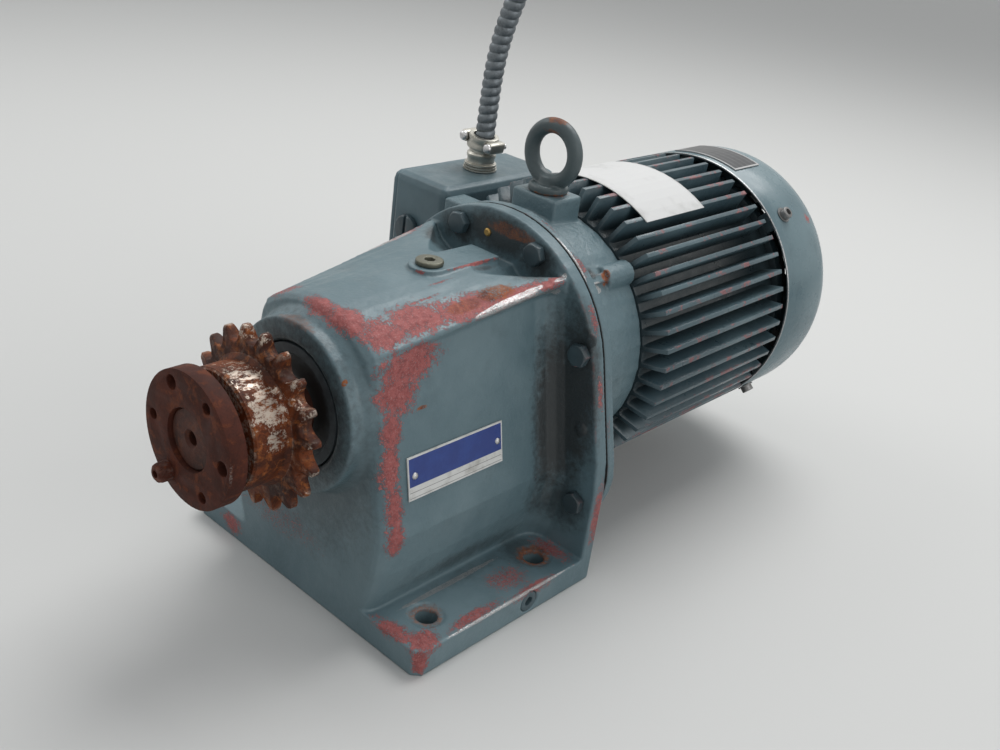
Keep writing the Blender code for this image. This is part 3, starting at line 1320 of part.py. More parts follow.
def make_stator_frame():
    """The motor's ribbed cast frame, with the flat pad that the terminal box stands on."""
    frame = loft("stator_frame", [
        fin_section(FRAME_FRONT, FIN_VALLEY_RADIUS + FIN_START),
        fin_section(FRAME_FRONT + FIN_CHAMFER, FIN_CREST_RADIUS),
        fin_section(FIN_REAR, FIN_CREST_RADIUS),
    ])
    tail = rod("tail", FIN_REAR - SINK, FRAME_REAR, FIN_VALLEY_RADIUS - TAIL_STEP)
    front, rear, bottom, top = BOX_PAD
    pad = box("pad", (BOX_INNER_X + SEAT_GAP, front, bottom), (BOX_INNER_X + BOX_PAD_DEPTH, rear, top))
    room = box(
        "room", (-FIN_CREST_RADIUS - SINK, FRAME_FRONT - SINK, BOX_BOTTOM - BOX_ROOM),
        (BOX_INNER_X + SEAT_GAP, BOX_REAR + BOX_ROOM, BOX_TOP + BOX_ROOM),
    )
    bore = rod("bore", FRAME_FRONT - SINK, FRAME_REAR + SINK, FRAME_BORE_RADIUS)
    cut(frame, room)
    join(frame, tail, pad)
    middle = ((front + rear) / 2, (bottom + top) / 2)
    wires = rod("wires", -FIN_CREST_RADIUS, WIRE_HOLE_RADIUS - FRAME_BORE_RADIUS, WIRE_HOLE_RADIUS, 16,
                at=(0, middle[0], middle[1]), way=ALONG_X)
    cut(frame, bore, wires)
    return done(frame, "motor_paint")


def make_stator():
    """The laminated stator core and the two rings of winding ends."""
    inner, outer = ROTOR_RADIUS + AIR_GAP, FRAME_BORE_RADIUS - SEAT_GAP
    rear = CORE_FRONT + CORE_LENGTH
    done(ring("stator_core", CORE_FRONT, rear, inner, outer), "lamination")
    low, high = WINDING_INNER_RADIUS, WINDING_OUTER_RADIUS
    corner = min(WINDING_CORNER, (high - low) / 3)
    shape = ((SEAT_GAP, 0.0), (WINDING_REACH * 0.6, 0.0), (WINDING_REACH, corner))
    front_profile = [(CORE_FRONT - away, high - shrink) for away, shrink in shape]
    front_profile += [(CORE_FRONT - away, low + shrink) for away, shrink in reversed(shape)]
    done(turned("winding_front", front_profile, 20), "copper")
    rear_profile = [(rear + away, high - shrink) for away, shrink in shape]
    rear_profile += [(rear + away, low + shrink) for away, shrink in reversed(shape)]
    done(turned("winding_rear", rear_profile, 20), "copper")


def make_rotor():
    """The rotor: its stepped shaft, and the core with its end rings."""
    journal = MOTOR_BEARING[0] - SEAT_GAP
    pinion_front = FIRST_STAGE_FRONT - PINION_OVERHANG - SINK
    pinion_rear = FIRST_STAGE_FRONT + FIRST_STAGE_WIDTH + PINION_OVERHANG + SEAT_GAP
    front_rear = MOTOR_FRONT_STATION + MOTOR_BEARING[2] + SEAT_GAP
    rear_front = MOTOR_REAR_STATION - SEAT_GAP
    fan_seat = MOTOR_REAR_STATION + MOTOR_BEARING[2] + FAN_SEAT_GAP
    shaft = turned("rotor_shaft", [
        (pinion_front, 0), (pinion_front, PINION_SEAT_RADIUS), (pinion_rear, PINION_SEAT_RADIUS),
        (pinion_rear, PINION_SEAT_RADIUS + PINION_SHOULDER), (0.0, PINION_SEAT_RADIUS + PINION_SHOULDER),
        (0.0, journal), (front_rear, journal),
        (front_rear, ROTOR_SHAFT_RADIUS), (rear_front, ROTOR_SHAFT_RADIUS), (rear_front, journal),
        (fan_seat, journal), (fan_seat, FAN_SEAT_RADIUS), (ROTOR_SHAFT_END, FAN_SEAT_RADIUS),
        (ROTOR_SHAFT_END, 0),
    ], 20)
    done(shaft, "bright_steel")
    rear = CORE_FRONT + CORE_LENGTH
    inner, outer = ROTOR_SHAFT_RADIUS + END_RING_WALL, ROTOR_RADIUS - END_RING_STEP
    core = turned("rotor_core", [
        (CORE_FRONT - END_RING, inner), (CORE_FRONT - END_RING, outer),
        (CORE_FRONT, ROTOR_RADIUS), (rear, ROTOR_RADIUS), (rear + END_RING, outer),
        (rear + END_RING, inner), (rear, ROTOR_SHAFT_RADIUS + SEAT_GAP),
        (CORE_FRONT, ROTOR_SHAFT_RADIUS + SEAT_GAP),
    ], 24)
    done(core, "lamination")


def make_rear_end_shield():
    """The motor's rear end shield, with four lugs for the fan cover's screws."""
    bearing = MOTOR_BEARING[1] + SEAT_GAP
    front = FRAME_REAR - REAR_SHIELD_SPIGOT
    seat = FRAME_REAR + SEAT_GAP
    rear = seat + REAR_SHIELD_THICKNESS
    hub = bearing + BEARING_WALL
    hub_front = MOTOR_REAR_STATION - PLATE_LIP
    inner = FRAME_BORE_RADIUS - SPIGOT_WALL
    shield = turned("rear_end_shield", [
        (hub_front, 0), (hub_front, hub), (seat - REAR_SHIELD_DISH, hub),
        (seat - REAR_SHIELD_DISH, inner), (front, inner),
        (front, FRAME_BORE_RADIUS - SEAT_GAP), (seat, FRAME_BORE_RADIUS - SEAT_GAP),
        (seat, REAR_SHIELD_RADIUS), (rear, REAR_SHIELD_RADIUS), (rear, 0),
    ])
    lugs = []
    reach = COVER_RADIUS - COVER_WALL - REAR_LUG_GAP
    for quarter in range(4):
        lug = box("lug", (REAR_LUG_INNER, seat + SINK, -REAR_LUG_WIDTH / 2),
                  (reach, REAR_LUG_END, REAR_LUG_WIDTH / 2))
        lug.rotation_euler = (0, -COVER_SCREW_ANGLE - quarter * math.pi / 2, 0)
        lugs.append(lug)
    join(shield, *lugs)
    pocket_rear = MOTOR_REAR_STATION + MOTOR_BEARING[2] + SEAT_GAP
    clear = MOTOR_BEARING[0] + CHAMFER
    cutter = turned("bore", [
        (hub_front - SINK, 0), (hub_front - SINK, bearing),
        (pocket_rear, bearing), (pocket_rear, clear), (rear + SINK, clear), (rear + SINK, 0),
    ])
    holes = [cutter] + cover_screw_holes(REAR_LUG_INNER + 0.010)
    cut(shield, *holes)
    return done(shield, "motor_paint")


def cover_screw_holes(inner):
    """Cutters for the four radial screws of the fan cover, from a radius outwards."""
    holes = []
    for quarter in range(4):
        angle = COVER_SCREW_ANGLE + quarter * math.pi / 2
        hole = rod("hole", inner, COVER_RADIUS + 0.01, COVER_SCREW_RADIUS + SEAT_GAP, 10,
                   at=(0, COVER_SCREW_STATION, 0), way=ALONG_X, swing=-angle)
        holes.append(hole)
    return holes


def make_fan():
    """The cooling fan: hub, disc and straight blades."""
    rear = FAN_FRONT + FAN_DISC
    fan = turned("cooling_fan", [
        (FAN_FRONT, 0), (FAN_FRONT, FAN_RADIUS - FAN_DISC_STEP), (rear, FAN_RADIUS - FAN_DISC_STEP),
        (rear, FAN_HUB_RADIUS), (FAN_FRONT + FAN_HUB_LENGTH, FAN_HUB_RADIUS - 0.002),
        (FAN_FRONT + FAN_HUB_LENGTH, 0),
    ], 32)
    blades = []
    for k in range(FAN_BLADES):
        blade = box("blade", (FAN_HUB_RADIUS - 0.003, FAN_FRONT + SINK, -FAN_BLADE / 2),
                    (FAN_RADIUS, FAN_FRONT + FAN_BLADE_DEPTH, FAN_BLADE / 2))
        blade.rotation_euler = (0, -2 * math.pi * (k + 0.5) / FAN_BLADES, 0)
        blades.append(blade)
    join(fan, *blades)
    bore = rod("bore", FAN_FRONT - SINK, FAN_FRONT + FAN_BLADE_DEPTH + SINK,
               FAN_SEAT_RADIUS + SEAT_GAP, 24)
    cut(fan, bore)
    return done(fan, "black_plastic")


def cover_arc(radius, inset):
    """The rounded rear edge of the fan cover, as (station, radius) points, set in by the wall."""
    depth = COVER_REAR - COVER_STRAIGHT_END - inset
    width = radius - COVER_FACE_RADIUS
    points = []
    for step in range(1, 5):
        a = math.pi / 2 * step / 4
        points.append((COVER_STRAIGHT_END + depth * math.sin(a), COVER_FACE_RADIUS + width * math.cos(a)))
    return points


def make_fan_cover():
    """The sheet-metal fan cover with its air inlet slots at the rear."""
    inner = COVER_RADIUS - COVER_WALL
    profile = [(COVER_FRONT, inner), (COVER_FRONT, COVER_RADIUS), (COVER_STRAIGHT_END, COVER_RADIUS)]
    profile += cover_arc(COVER_RADIUS, 0)
    profile.append((COVER_REAR, 0))
    profile.append((COVER_REAR - COVER_WALL, 0))
    profile += list(reversed(cover_arc(inner, COVER_WALL)))
    profile.append((COVER_STRAIGHT_END, inner))
    cover = turned_shell("fan_cover", profile, ROUND_STEPS)
    slots = []
    for inner_step, outer_step, count in INLET_RINGS:
        low, high = COVER_FACE_RADIUS - inner_step, COVER_FACE_RADIUS - outer_step
        half = math.pi / count * INLET_FILL
        for k in range(count):
            middle = 2 * math.pi * (k + 0.5) / count
            outline = arc(high, middle - half, middle + half, 4)
            outline += arc(low, middle + half, middle - half, 3)
            slots.append(profile_plate("slot", outline, COVER_REAR - 0.006, COVER_REAR + SINK))
    cut(cover, *slots, *cover_screw_holes(COVER_RADIUS - 0.01))
    return done(cover, "motor_paint")


def turned_shell(name, profile, steps):
    """A turned cup: a profile whose two middle points lie on the axis, so it has two surfaces."""
    split = next(i for i, point in enumerate(profile) if point[1] == 0)
    outside = turned(name, [(profile[0][0], 0)] + profile[1:split + 1], steps)
    mouth = profile[0][0] - SINK
    inside = turned("inside", [(mouth, 0), (mouth, profile[0][1])] + profile[:split:-1], steps)
    return cut(outside, inside)


def make_cover_screws():
    """The four socket-head screws that hold the fan cover, each with its washer."""
    for quarter in range(4):
        angle = COVER_SCREW_ANGLE + quarter * math.pi / 2
        seat = COVER_RADIUS + WASHER_GAP
        washer = seat + WASHER_THICKNESS
        washer_radius = COVER_SCREW_HEAD_RADIUS * WASHER_SHARE
        head = washer + COVER_SCREW_HEAD
        screw = turned(f"fan_cover_screw_{quarter + 1}", [
            (seat - COVER_SCREW_REACH, 0), (seat - COVER_SCREW_REACH, COVER_SCREW_RADIUS),
            (seat, COVER_SCREW_RADIUS), (seat, washer_radius),
            (washer, washer_radius), (washer, COVER_SCREW_HEAD_RADIUS),
            (head, COVER_SCREW_HEAD_RADIUS), (head, 0),
        ], 12, at=(0, COVER_SCREW_STATION, 0), way=ALONG_X, swing=-angle)
        done(screw, "dark_steel")


def curved_plate(name, front, length, angles, radius, thickness, look):
    """A thin plate bent round the shaft line, from one angle to another."""
    start, end = angles
    outline = arc(radius, start, end, PLATE_STEPS) + arc(radius + thickness, end, start, PLATE_STEPS)
    return done(profile_plate(name, outline, front, front + length), look)


def make_plates():
    """The oil plate, the motor's nameplate and the paper label."""
    lean = math.atan(WALL_LEAN)
    half_length, half_height = OIL_PLATE_LENGTH / 2, OIL_PLATE_HEIGHT / 2
    outward = SEAT_GAP + PLATE_THICKNESS / 2
    plate = box("oil_plate", (-PLATE_THICKNESS / 2, -half_length, -half_height),
                (PLATE_THICKNESS / 2, half_length, half_height))
    x = wall_x(OIL_PLATE_Z) + outward * math.cos(lean)
    plate.location = (x, OIL_PLATE_STATION, OIL_PLATE_Z + outward * math.sin(lean))
    plate.rotation_euler = (0, -lean, 0)
    done(plate, "blue_plate")
    curved_plate("motor_nameplate", MOTOR_PLATE_FRONT, MOTOR_PLATE_LENGTH, MOTOR_PLATE_ANGLES,
                 COVER_RADIUS + SEAT_GAP, PLATE_THICKNESS, "dark_plate")
    curved_plate("paper_label", LABEL_FRONT, LABEL_LENGTH, LABEL_ANGLES,
                 FIN_CREST_RADIUS + SEAT_GAP, LABEL_THICKNESS, "white_paper")


def make_terminal_box():
    """The cast terminal box on the frame's left side, open towards its cover."""
    shell = box("terminal_box", (BOX_OUTER_X, BOX_FRONT, BOX_BOTTOM), (BOX_INNER_X, BOX_REAR, BOX_TOP),
                BOX_CORNER)
    trim = box("trim", (BOX_OUTER_X - SINK, BOX_FRONT - SINK, BOX_BOTTOM - SINK),
               (BOX_OUTER_X + BOX_CORNER, BOX_REAR + SINK, BOX_TOP + SINK))
    cut(shell, trim)
    rim = prism_x("rim", BOX_OUTER_X, BOX_OUTER_X + BOX_CORNER + SINK, 0.0)
    join(shell, rim)
    wall = BOX_WALL
    hollow = box("hollow", (BOX_OUTER_X - SINK, BOX_FRONT + wall, BOX_BOTTOM + wall),
                 (BOX_INNER_X - wall, BOX_REAR - wall, BOX_TOP - wall))
    front, rear, bottom, top = BOX_PAD
    middle = ((front + rear) / 2, (bottom + top) / 2)
    wires = rod("wires", BOX_INNER_X - 0.01, BOX_INNER_X + SINK, WIRE_HOLE_RADIUS, 16,
                at=(0, middle[0], middle[1]), way=ALONG_X)
    blank = rod("blank", BOX_FRONT - SINK, BOX_FRONT + wall + SINK, BLANK_THREAD_RADIUS, 16,
                at=(BLANK_X, 0, BLANK_Z))
    entry_profile = [
        (BOX_TOP - wall - SINK, 0), (BOX_TOP - wall - SINK, CONNECTOR_HOLE_RADIUS),
        (BOX_TOP + SINK, CONNECTOR_HOLE_RADIUS), (BOX_TOP + SINK, 0),
    ]
    entry = turned("entry", entry_profile, 20, at=(CONNECTOR_X, CONNECTOR_STATION, 0), way=UPRIGHT)
    cut(shell, hollow, wires, blank, entry)
    return done(shell, "case_paint")


def prism_x(name, low_x, high_x, inset):
    """A block across X with the terminal box's outline, its long edges rounded."""
    front, rear = BOX_FRONT + inset, BOX_REAR - inset
    bottom, top = BOX_BOTTOM + inset, BOX_TOP - inset
    corner = BOX_CORNER
    outline = []
    for cx, cz, start in (
        (rear - corner, top - corner, 0), (front + corner, top - corner, 1),
        (front + corner, bottom + corner, 2), (rear - corner, bottom + corner, 3),
    ):
        outline += arc(corner, start * math.pi / 2, (start + 1) * math.pi / 2, 3, (cx, cz))
    return place(name, sheet_mesh(outline, low_x, high_x, FACING_X))


def make_box_cover():
    """The terminal box's cover plate."""
    high = BOX_OUTER_X - SEAT_GAP
    return done(prism_x("terminal_box_cover", high - BOX_COVER, high, BOX_COVER_INSET), "case_paint")


def make_terminal_block():
    """The terminal board with its studs, on the box's back wall."""
    front, rear, bottom, top = BOX_PAD
    station = (front + rear) / 2 + 0.004
    z = bottom + 0.0015
    wall = BOX_INNER_X - BOX_WALL - SEAT_GAP
    block = box(
        "terminal_block", (wall - BLOCK_THICKNESS, station - BLOCK_LENGTH / 2, z - BLOCK_HEIGHT / 2),
        (wall, station + BLOCK_LENGTH / 2, z + BLOCK_HEIGHT / 2),
    )
    studs = []
    for k in range(TERMINAL_STUDS):
        column, row = k % 3 - 1, k // 3
        place_z = z + (row - 0.5) * BLOCK_HEIGHT * 0.5
        place_y = station + column * BLOCK_LENGTH * 0.3
        studs.append(rod("stud", wall - BLOCK_THICKNESS - STUD_REACH, wall - BLOCK_THICKNESS / 2,
                         STUD_RADIUS, 8, at=(0, place_y, place_z), way=ALONG_X))
    join(block, *studs)
    return done(block, "black_plastic")


def make_blanking_plug():
    """The plug in the spare cable entry on the box's front."""
    seat = BOX_FRONT - SEAT_GAP
    face = seat - BLANK_HEAD
    thread = BLANK_THREAD_RADIUS - SEAT_GAP
    plug = turned("blanking_plug", [
        (face, 0), (face, BLANK_RADIUS - CHAMFER), (face + CHAMFER, BLANK_RADIUS), (seat, BLANK_RADIUS),
        (seat, thread), (BOX_FRONT + BOX_WALL, thread), (BOX_FRONT + BOX_WALL, 0),
    ], SMALL_STEPS, at=(BLANK_X, 0, BLANK_Z))
    slot = box("slot", (BLANK_X - BLANK_SLOT_HALF, face - SINK, BLANK_Z - BLANK_RADIUS),
               (BLANK_X + BLANK_SLOT_HALF, face + BLANK_SLOT_DEPTH, BLANK_Z + BLANK_RADIUS))
    cut(plug, slot)
    return done(plug, "dark_steel")


def make_cable_connector():
    """The squeeze connector on the box: lock ring, neck, and a tilted clamp round the conduit."""
    seat = BOX_TOP + SEAT_GAP
    top = BOX_TOP + CLAMP_TOP
    body = turned("cable_connector", [
        (BOX_TOP - CONNECTOR_REACH, 0), (BOX_TOP - CONNECTOR_REACH, CONNECTOR_HOLE_RADIUS - SEAT_GAP),
        (seat, CONNECTOR_HOLE_RADIUS - SEAT_GAP), (seat, LOCKNUT_RADIUS),
        (BOX_TOP + LOCKNUT_HEIGHT, LOCKNUT_RADIUS), (BOX_TOP + LOCKNUT_HEIGHT, CONNECTOR_NECK_RADIUS),
        (top - 0.002, CONNECTOR_NECK_RADIUS), (top - 0.002, 0),
    ], 24, at=(CONNECTOR_X, CONNECTOR_STATION, 0), way=UPRIGHT)
    middle = (CLAMP_BOTTOM + CLAMP_TOP) / 2
    height = CLAMP_TOP - CLAMP_BOTTOM - 0.004
    clamp = box("clamp", (-CLAMP_WIDTH / 2, -CLAMP_DEPTH / 2, -height / 2),
                (CLAMP_WIDTH / 2, CLAMP_DEPTH / 2, height / 2), CLAMP_EDGE)
    clamp.location = (CONNECTOR_X, CONNECTOR_STATION, BOX_TOP + middle)
    clamp.rotation_euler = (0, CLAMP_TILT, 0)
    join(body, clamp)
    x, y, z = CONDUIT_ROUTE[0]
    hollow_bottom = z - SHAFT_HEIGHT - CONDUIT_SOCKET - SEAT_GAP
    socket = turned("socket", [
        (hollow_bottom, 0), (hollow_bottom, CONDUIT_RADIUS + SEAT_GAP),
        (top + 0.01, CONDUIT_RADIUS + SEAT_GAP), (top + 0.01, 0),
    ], 16, at=(x, y - JOINT_Y, 0), way=UPRIGHT)
    cut(body, socket)
    return done(body, "zinc")


def make_conduit():
    """The flexible metal conduit, a tube that stands from its connector."""
    x, y, z = CONDUIT_ROUTE[0]
    points = [(x, y, z - CONDUIT_SOCKET), *CONDUIT_ROUTE]
    curve = bpy.data.curves.new("conduit", "CURVE")
    curve.dimensions = "3D"
    curve.bevel_depth = CONDUIT_RADIUS
    curve.bevel_resolution = 3
    curve.use_fill_caps = True
    spline = curve.splines.new("POLY")
    spline.points.add(len(points) - 1)
    for point, (px, py, pz) in zip(spline.points, points):
        point.co = (px, py, pz, 1)
    conduit = bpy.data.objects.new("conduit", curve)
    parts.objects.link(conduit)
    curve.materials.append(finish("dark_steel"))


def make_conduit_end():
    """The connector at the conduit's free end."""
    x, y, z = CONDUIT_ROUTE[-1]
    before = CONDUIT_ROUTE[-2]
    rise = math.dist(CONDUIT_ROUTE[-1], before)
    lean = math.asin((x - before[0]) / rise)
    fitting = turned("conduit_end_connector", [
        (-0.010, CONDUIT_RADIUS + SEAT_GAP), (-0.010, CONDUIT_END_RADIUS * 0.85),
        (0.004, CONDUIT_END_RADIUS * 0.85), (0.004, CONDUIT_END_RADIUS),
        (0.010, CONDUIT_END_RADIUS), (0.010, CONDUIT_END_RADIUS * 0.8),
        (CONDUIT_END_LENGTH - 0.010, CONDUIT_END_RADIUS * 0.8),
        (CONDUIT_END_LENGTH - 0.010, CONDUIT_RADIUS * 0.75), (SEAT_GAP, CONDUIT_RADIUS * 0.75),
        (SEAT_GAP, CONDUIT_RADIUS + SEAT_GAP),
    ], SMALL_STEPS, at=(x, y - JOINT_Y, z - SHAFT_HEIGHT), way=UPRIGHT, swing=lean)
    return done(fitting, "zinc")


def build():
    make_gear_housing()
    make_gasket()
    make_case_bolts()
    make_vent_plug()
    make_drain_plug()
    make_bearing("output_front_bearing", OUTPUT_FRONT_BEARING, OUTPUT_FRONT_STATION, 24)
    make_bearing("output_rear_bearing", OUTPUT_REAR_BEARING, OUTPUT_REAR_STATION)
    make_bearing("countershaft_front_bearing", COUNTERSHAFT_BEARING, COUNTERSHAFT_FRONT_STATION,
                 on=countershaft_line)
    make_bearing("countershaft_rear_bearing", COUNTERSHAFT_BEARING, COUNTERSHAFT_REAR_STATION,
                 on=countershaft_line)
    make_bearing("motor_front_bearing", MOTOR_BEARING, MOTOR_FRONT_STATION)
    make_bearing("motor_rear_bearing", MOTOR_BEARING, MOTOR_REAR_STATION)
    make_bearing_plate()
    make_output_seal()
    make_output_shaft()
    make_output_key()
    make_output_gear()
    make_taper_bushing()
    make_bushing_screw()
    make_sprocket()
    make_countershaft()
    make_countershaft_gear()
    make_drive_end_shield()
    make_motor_seal()
    make_eye_bolt()
    make_stator_frame()
    make_stator()
    make_rotor()
    make_motor_pinion()
    make_rear_end_shield()
    make_fan()
    make_fan_cover()
    make_cover_screws()
    make_plates()
    make_terminal_box()
    make_box_cover()
    make_terminal_block()
    make_blanking_plug()
    make_cable_connector()
    make_conduit()
    make_conduit_end()


build()
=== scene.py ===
"""The looks of the foot-mounted gear motor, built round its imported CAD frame.

Metres, in the frame of the CAD: the origin is under the foot's centre, the shaft line runs along Y,
the output end is at -Y and the terminal box at -X.
"""

import math

import bmesh
import bpy
from mathutils import Matrix, Vector


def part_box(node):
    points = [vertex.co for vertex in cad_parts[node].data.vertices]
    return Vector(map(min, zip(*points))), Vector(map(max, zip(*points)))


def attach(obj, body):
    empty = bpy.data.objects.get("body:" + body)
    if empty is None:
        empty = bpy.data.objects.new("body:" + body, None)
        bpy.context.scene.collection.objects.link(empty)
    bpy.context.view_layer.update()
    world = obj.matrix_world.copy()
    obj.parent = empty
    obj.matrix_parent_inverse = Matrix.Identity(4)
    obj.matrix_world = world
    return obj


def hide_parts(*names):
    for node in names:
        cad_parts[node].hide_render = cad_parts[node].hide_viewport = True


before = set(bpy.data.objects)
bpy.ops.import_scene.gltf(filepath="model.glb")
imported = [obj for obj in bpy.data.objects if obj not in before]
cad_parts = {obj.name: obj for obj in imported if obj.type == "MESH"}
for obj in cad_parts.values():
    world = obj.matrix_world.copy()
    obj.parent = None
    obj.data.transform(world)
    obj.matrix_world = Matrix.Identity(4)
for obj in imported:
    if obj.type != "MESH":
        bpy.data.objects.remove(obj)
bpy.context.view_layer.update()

# Places shared by several pieces
SHAFT_Z = 0.130
FRAME_BODY, OUTPUT_BODY = "frame", "output"

# Camera, fitted to the photograph's view of the object
CAMERA_AT = (0.42776, -0.43547, 0.42953)
CAMERA_TURN = (63.785, -7.235, 42.847)
CAMERA_LENS = 40.193
CAMERA_SENSOR = 36.0

# Conduit: the same route as in the CAD, and the ribs of its strip-wound wall
CONDUIT_RADIUS = 0.00725
CONDUIT_SOCKET = 0.004
CONDUIT_ROUTE = (
    (-0.1141, 0.1705, 0.2280),
    (-0.1140, 0.1706, 0.2400),
    (-0.1139, 0.1707, 0.2520),
    (-0.1136, 0.1708, 0.2640),
    (-0.1128, 0.1709, 0.2760),
    (-0.1113, 0.1710, 0.2875),
    (-0.1090, 0.1711, 0.2990),
    (-0.1060, 0.1712, 0.3105),
    (-0.1024, 0.1713, 0.3215),
    (-0.0984, 0.1714, 0.3325),
    (-0.0941, 0.1715, 0.3435),
    (-0.0897, 0.1716, 0.3545),
)
RIB_PITCH = 0.0064
RIB_DEPTH = 0.0013

# Materials' colours, linear
PAINT = (0.092, 0.150, 0.172)
PAINT_DARK = (0.060, 0.102, 0.120)
PAINT_LIGHT = (0.135, 0.200, 0.222)
MOTOR_PAINT = (0.046, 0.080, 0.096)
MOTOR_PAINT_LIGHT = (0.080, 0.128, 0.146)
EYE_PAINT = (0.066, 0.090, 0.095)
EYE_PAINT_DARK = (0.044, 0.064, 0.069)
BOLT_PAINT_DARK = (0.030, 0.045, 0.052)
PRIMER = (0.340, 0.092, 0.086)
PRIMER_DARK = (0.215, 0.048, 0.046)
BARE_STEEL = (0.42, 0.42, 0.42)
PRIMER_PALE = (0.420, 0.220, 0.210)
DIRT_AND_SHADE_TONE = (0.018, 0.021, 0.022)
RUST = (0.155, 0.036, 0.008)
RUST_DARK = (0.042, 0.011, 0.005)
RUST_YELLOW = (0.300, 0.092, 0.022)
BROWN_OXIDE = (0.078, 0.019, 0.010)

# Radii between which the fins' crests and the gaps between fins begin; the gaps get painted shade
FIN_CREST = (0.0962, 0.0976)
FIN_VALLEY_SHADE = (0.0955, 0.082)


def make_camera():
    data = bpy.data.cameras.new("camera")
    data.lens = CAMERA_LENS
    data.sensor_width = CAMERA_SENSOR
    data.clip_start = 0.01
    data.clip_end = 60
    camera = placed("camera", data)
    camera.location = CAMERA_AT
    camera.rotation_euler = [math.radians(angle) for angle in CAMERA_TURN]
    bpy.context.scene.camera = camera


# Mesh helpers


def placed(name, data):
    """A new object in the scene."""
    made = bpy.data.objects.new(name, data)
    bpy.context.scene.collection.objects.link(made)
    return made


def worked_out(thing):
    """The mesh of a curve, or of an object with its modifiers."""
    bpy.context.view_layer.update()
    graph = bpy.context.evaluated_depsgraph_get()
    return bpy.data.meshes.new_from_object(thing.evaluated_get(graph))


def new_object(name, work, smooth=35.0):
    """An object at the origin from a bmesh, smooth where its faces meet at less than the angle."""
    bmesh.ops.recalc_face_normals(work, faces=work.faces)
    mesh = bpy.data.meshes.new(name)
    work.to_mesh(mesh)
    work.free()
    made = placed(name, mesh)
    shade(made, smooth)
    return made


def shade(piece, smooth):
    piece.data.shade_smooth()
    piece.data.set_sharp_from_angle(angle=math.radians(smooth))


def bake(piece, smooth):
    """Writes the piece's modifiers into its mesh."""
    mesh = worked_out(piece)
    piece.modifiers.clear()
    piece.data = mesh
    shade(piece, smooth)
    return piece


def bevel(piece, width, segments=2, angle=30.0, smooth=35.0):
    """Rounds the piece's sharp edges."""
    step = piece.modifiers.new("round", "BEVEL")
    step.width = width
    step.segments = segments
    step.limit_method = "ANGLE"
    step.angle_limit = math.radians(angle)
    step.use_clamp_overlap = True
    return bake(piece, smooth)


def along(axis, at):
    """A matrix that lays local Z along the axis and puts the local origin at a point."""
    turn = Vector((0, 0, 1)).rotation_difference(Vector(axis)).to_matrix().to_4x4()
    return Matrix.Translation(at) @ turn


# Lays a turned piece's height along Y, on the shaft line
SHAFT = Matrix(((1, 0, 0, 0), (0, 0, 1, 0), (0, 1, 0, SHAFT_Z), (0, 0, 0, 1)))


def loops_to_faces(work, loops, closed=True):
    """Quads between loops of as many points each. A loop of one point is a pole."""
    spans = list(zip(loops, loops[1:]))
    if closed:
        spans.append((loops[-1], loops[0]))
    for near, far in spans:
        count = max(len(near), len(far))
        for i in range(count):
            j = (i + 1) % count
            corners = [near[i % len(near)], near[j % len(near)], far[j % len(far)], far[i % len(far)]]
            unique = list(dict.fromkeys(corners))
            if len(unique) > 2:
                work.faces.new(unique)


def add_turned(work, outline, place, steps):
    """Adds a turned solid from (height, radius) points, a ring if no point is on the axis."""
    loops = []
    for height, radius in outline:
        around = circle(radius, steps) if radius else [(0, 0)]
        loops.append([work.verts.new(place @ Vector((x, y, height))) for x, y in around])
    loops_to_faces(work, loops, closed=bool(outline[0][1] and outline[-1][1]))


def turned(name, outline, place, steps=96, smooth=35.0, also=()):
    """A turned piece, with further (outline, steps) solids on the same axis."""
    work = bmesh.new()
    for solid, count in ((outline, steps), *also):
        add_turned(work, solid, place, count)
    return new_object(name, work, smooth)


def profile(start, *points):
    """A turned outline in metres, from (height past the start, radius) points in millimetres."""
    return [(start + height / 1000, radius / 1000) for height, radius in points]


def pin(low, high, radius):
    """The outline of a plain pin, in millimetres."""
    return profile(0, (low, 0), (low, radius), (high, radius), (high, 0))


def add_box(work, low, high, place):
    made = bmesh.ops.create_cube(work, size=1)["verts"]
    for corner in made:
        corner.co = place @ Vector([a + (b - a) * (c + 0.5) for a, b, c in zip(low, high, corner.co)])


def circle(radius, count, centre=(0.0, 0.0)):
    angles = [2 * math.pi * i / count for i in range(count)]
    return [(centre[0] + radius * math.cos(a), centre[1] + radius * math.sin(a)) for a in angles]


def plate(name, outline, holes, low, high):
    """A flat outline round the shaft line, with holes, thick from low to high along Y."""
    curve = bpy.data.curves.new(name, "CURVE")
    curve.dimensions = "2D"
    curve.fill_mode = "BOTH"
    curve.extrude = (high - low) / 2
    for loop in (outline, *holes):
        spline = curve.splines.new("POLY")
        spline.points.add(len(loop) - 1)
        for point, (x, y) in zip(spline.points, loop):
            point.co = (x, y, 0, 1)
        spline.use_cyclic_u = True
    drawn = placed(name, curve)
    work = bmesh.new()
    work.from_mesh(worked_out(drawn))
    bpy.data.objects.remove(drawn, do_unlink=True)
    bmesh.ops.remove_doubles(work, verts=work.verts, dist=1e-6)
    bmesh.ops.dissolve_limit(work, angle_limit=0.001, verts=work.verts, edges=work.edges)
    for corner in work.verts:
        corner.co = SHAFT @ Vector((corner.co.x, corner.co.y, low if corner.co.z < 0 else high))
    return new_object(name, work, 30)


def copy_of(node, name):
    """A clean copy of a CAD node's mesh, with whole flat faces."""
    work = bmesh.new()
    work.from_mesh(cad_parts[node].data)
    bmesh.ops.remove_doubles(work, verts=work.verts, dist=2e-6)
    bmesh.ops.dissolve_limit(work, angle_limit=math.radians(0.5), verts=work.verts, edges=work.edges)
    return new_object(name, work)


def cast(piece, voxel, rounds):
    """Turns a piece into one cast skin with soft edges."""
    remesh = piece.modifiers.new("skin", "REMESH")
    remesh.mode = "VOXEL"
    remesh.voxel_size = voxel
    soften = piece.modifiers.new("soften", "SMOOTH")
    soften.factor = 0.5
    soften.iterations = rounds
    return bake(piece, 60.0)


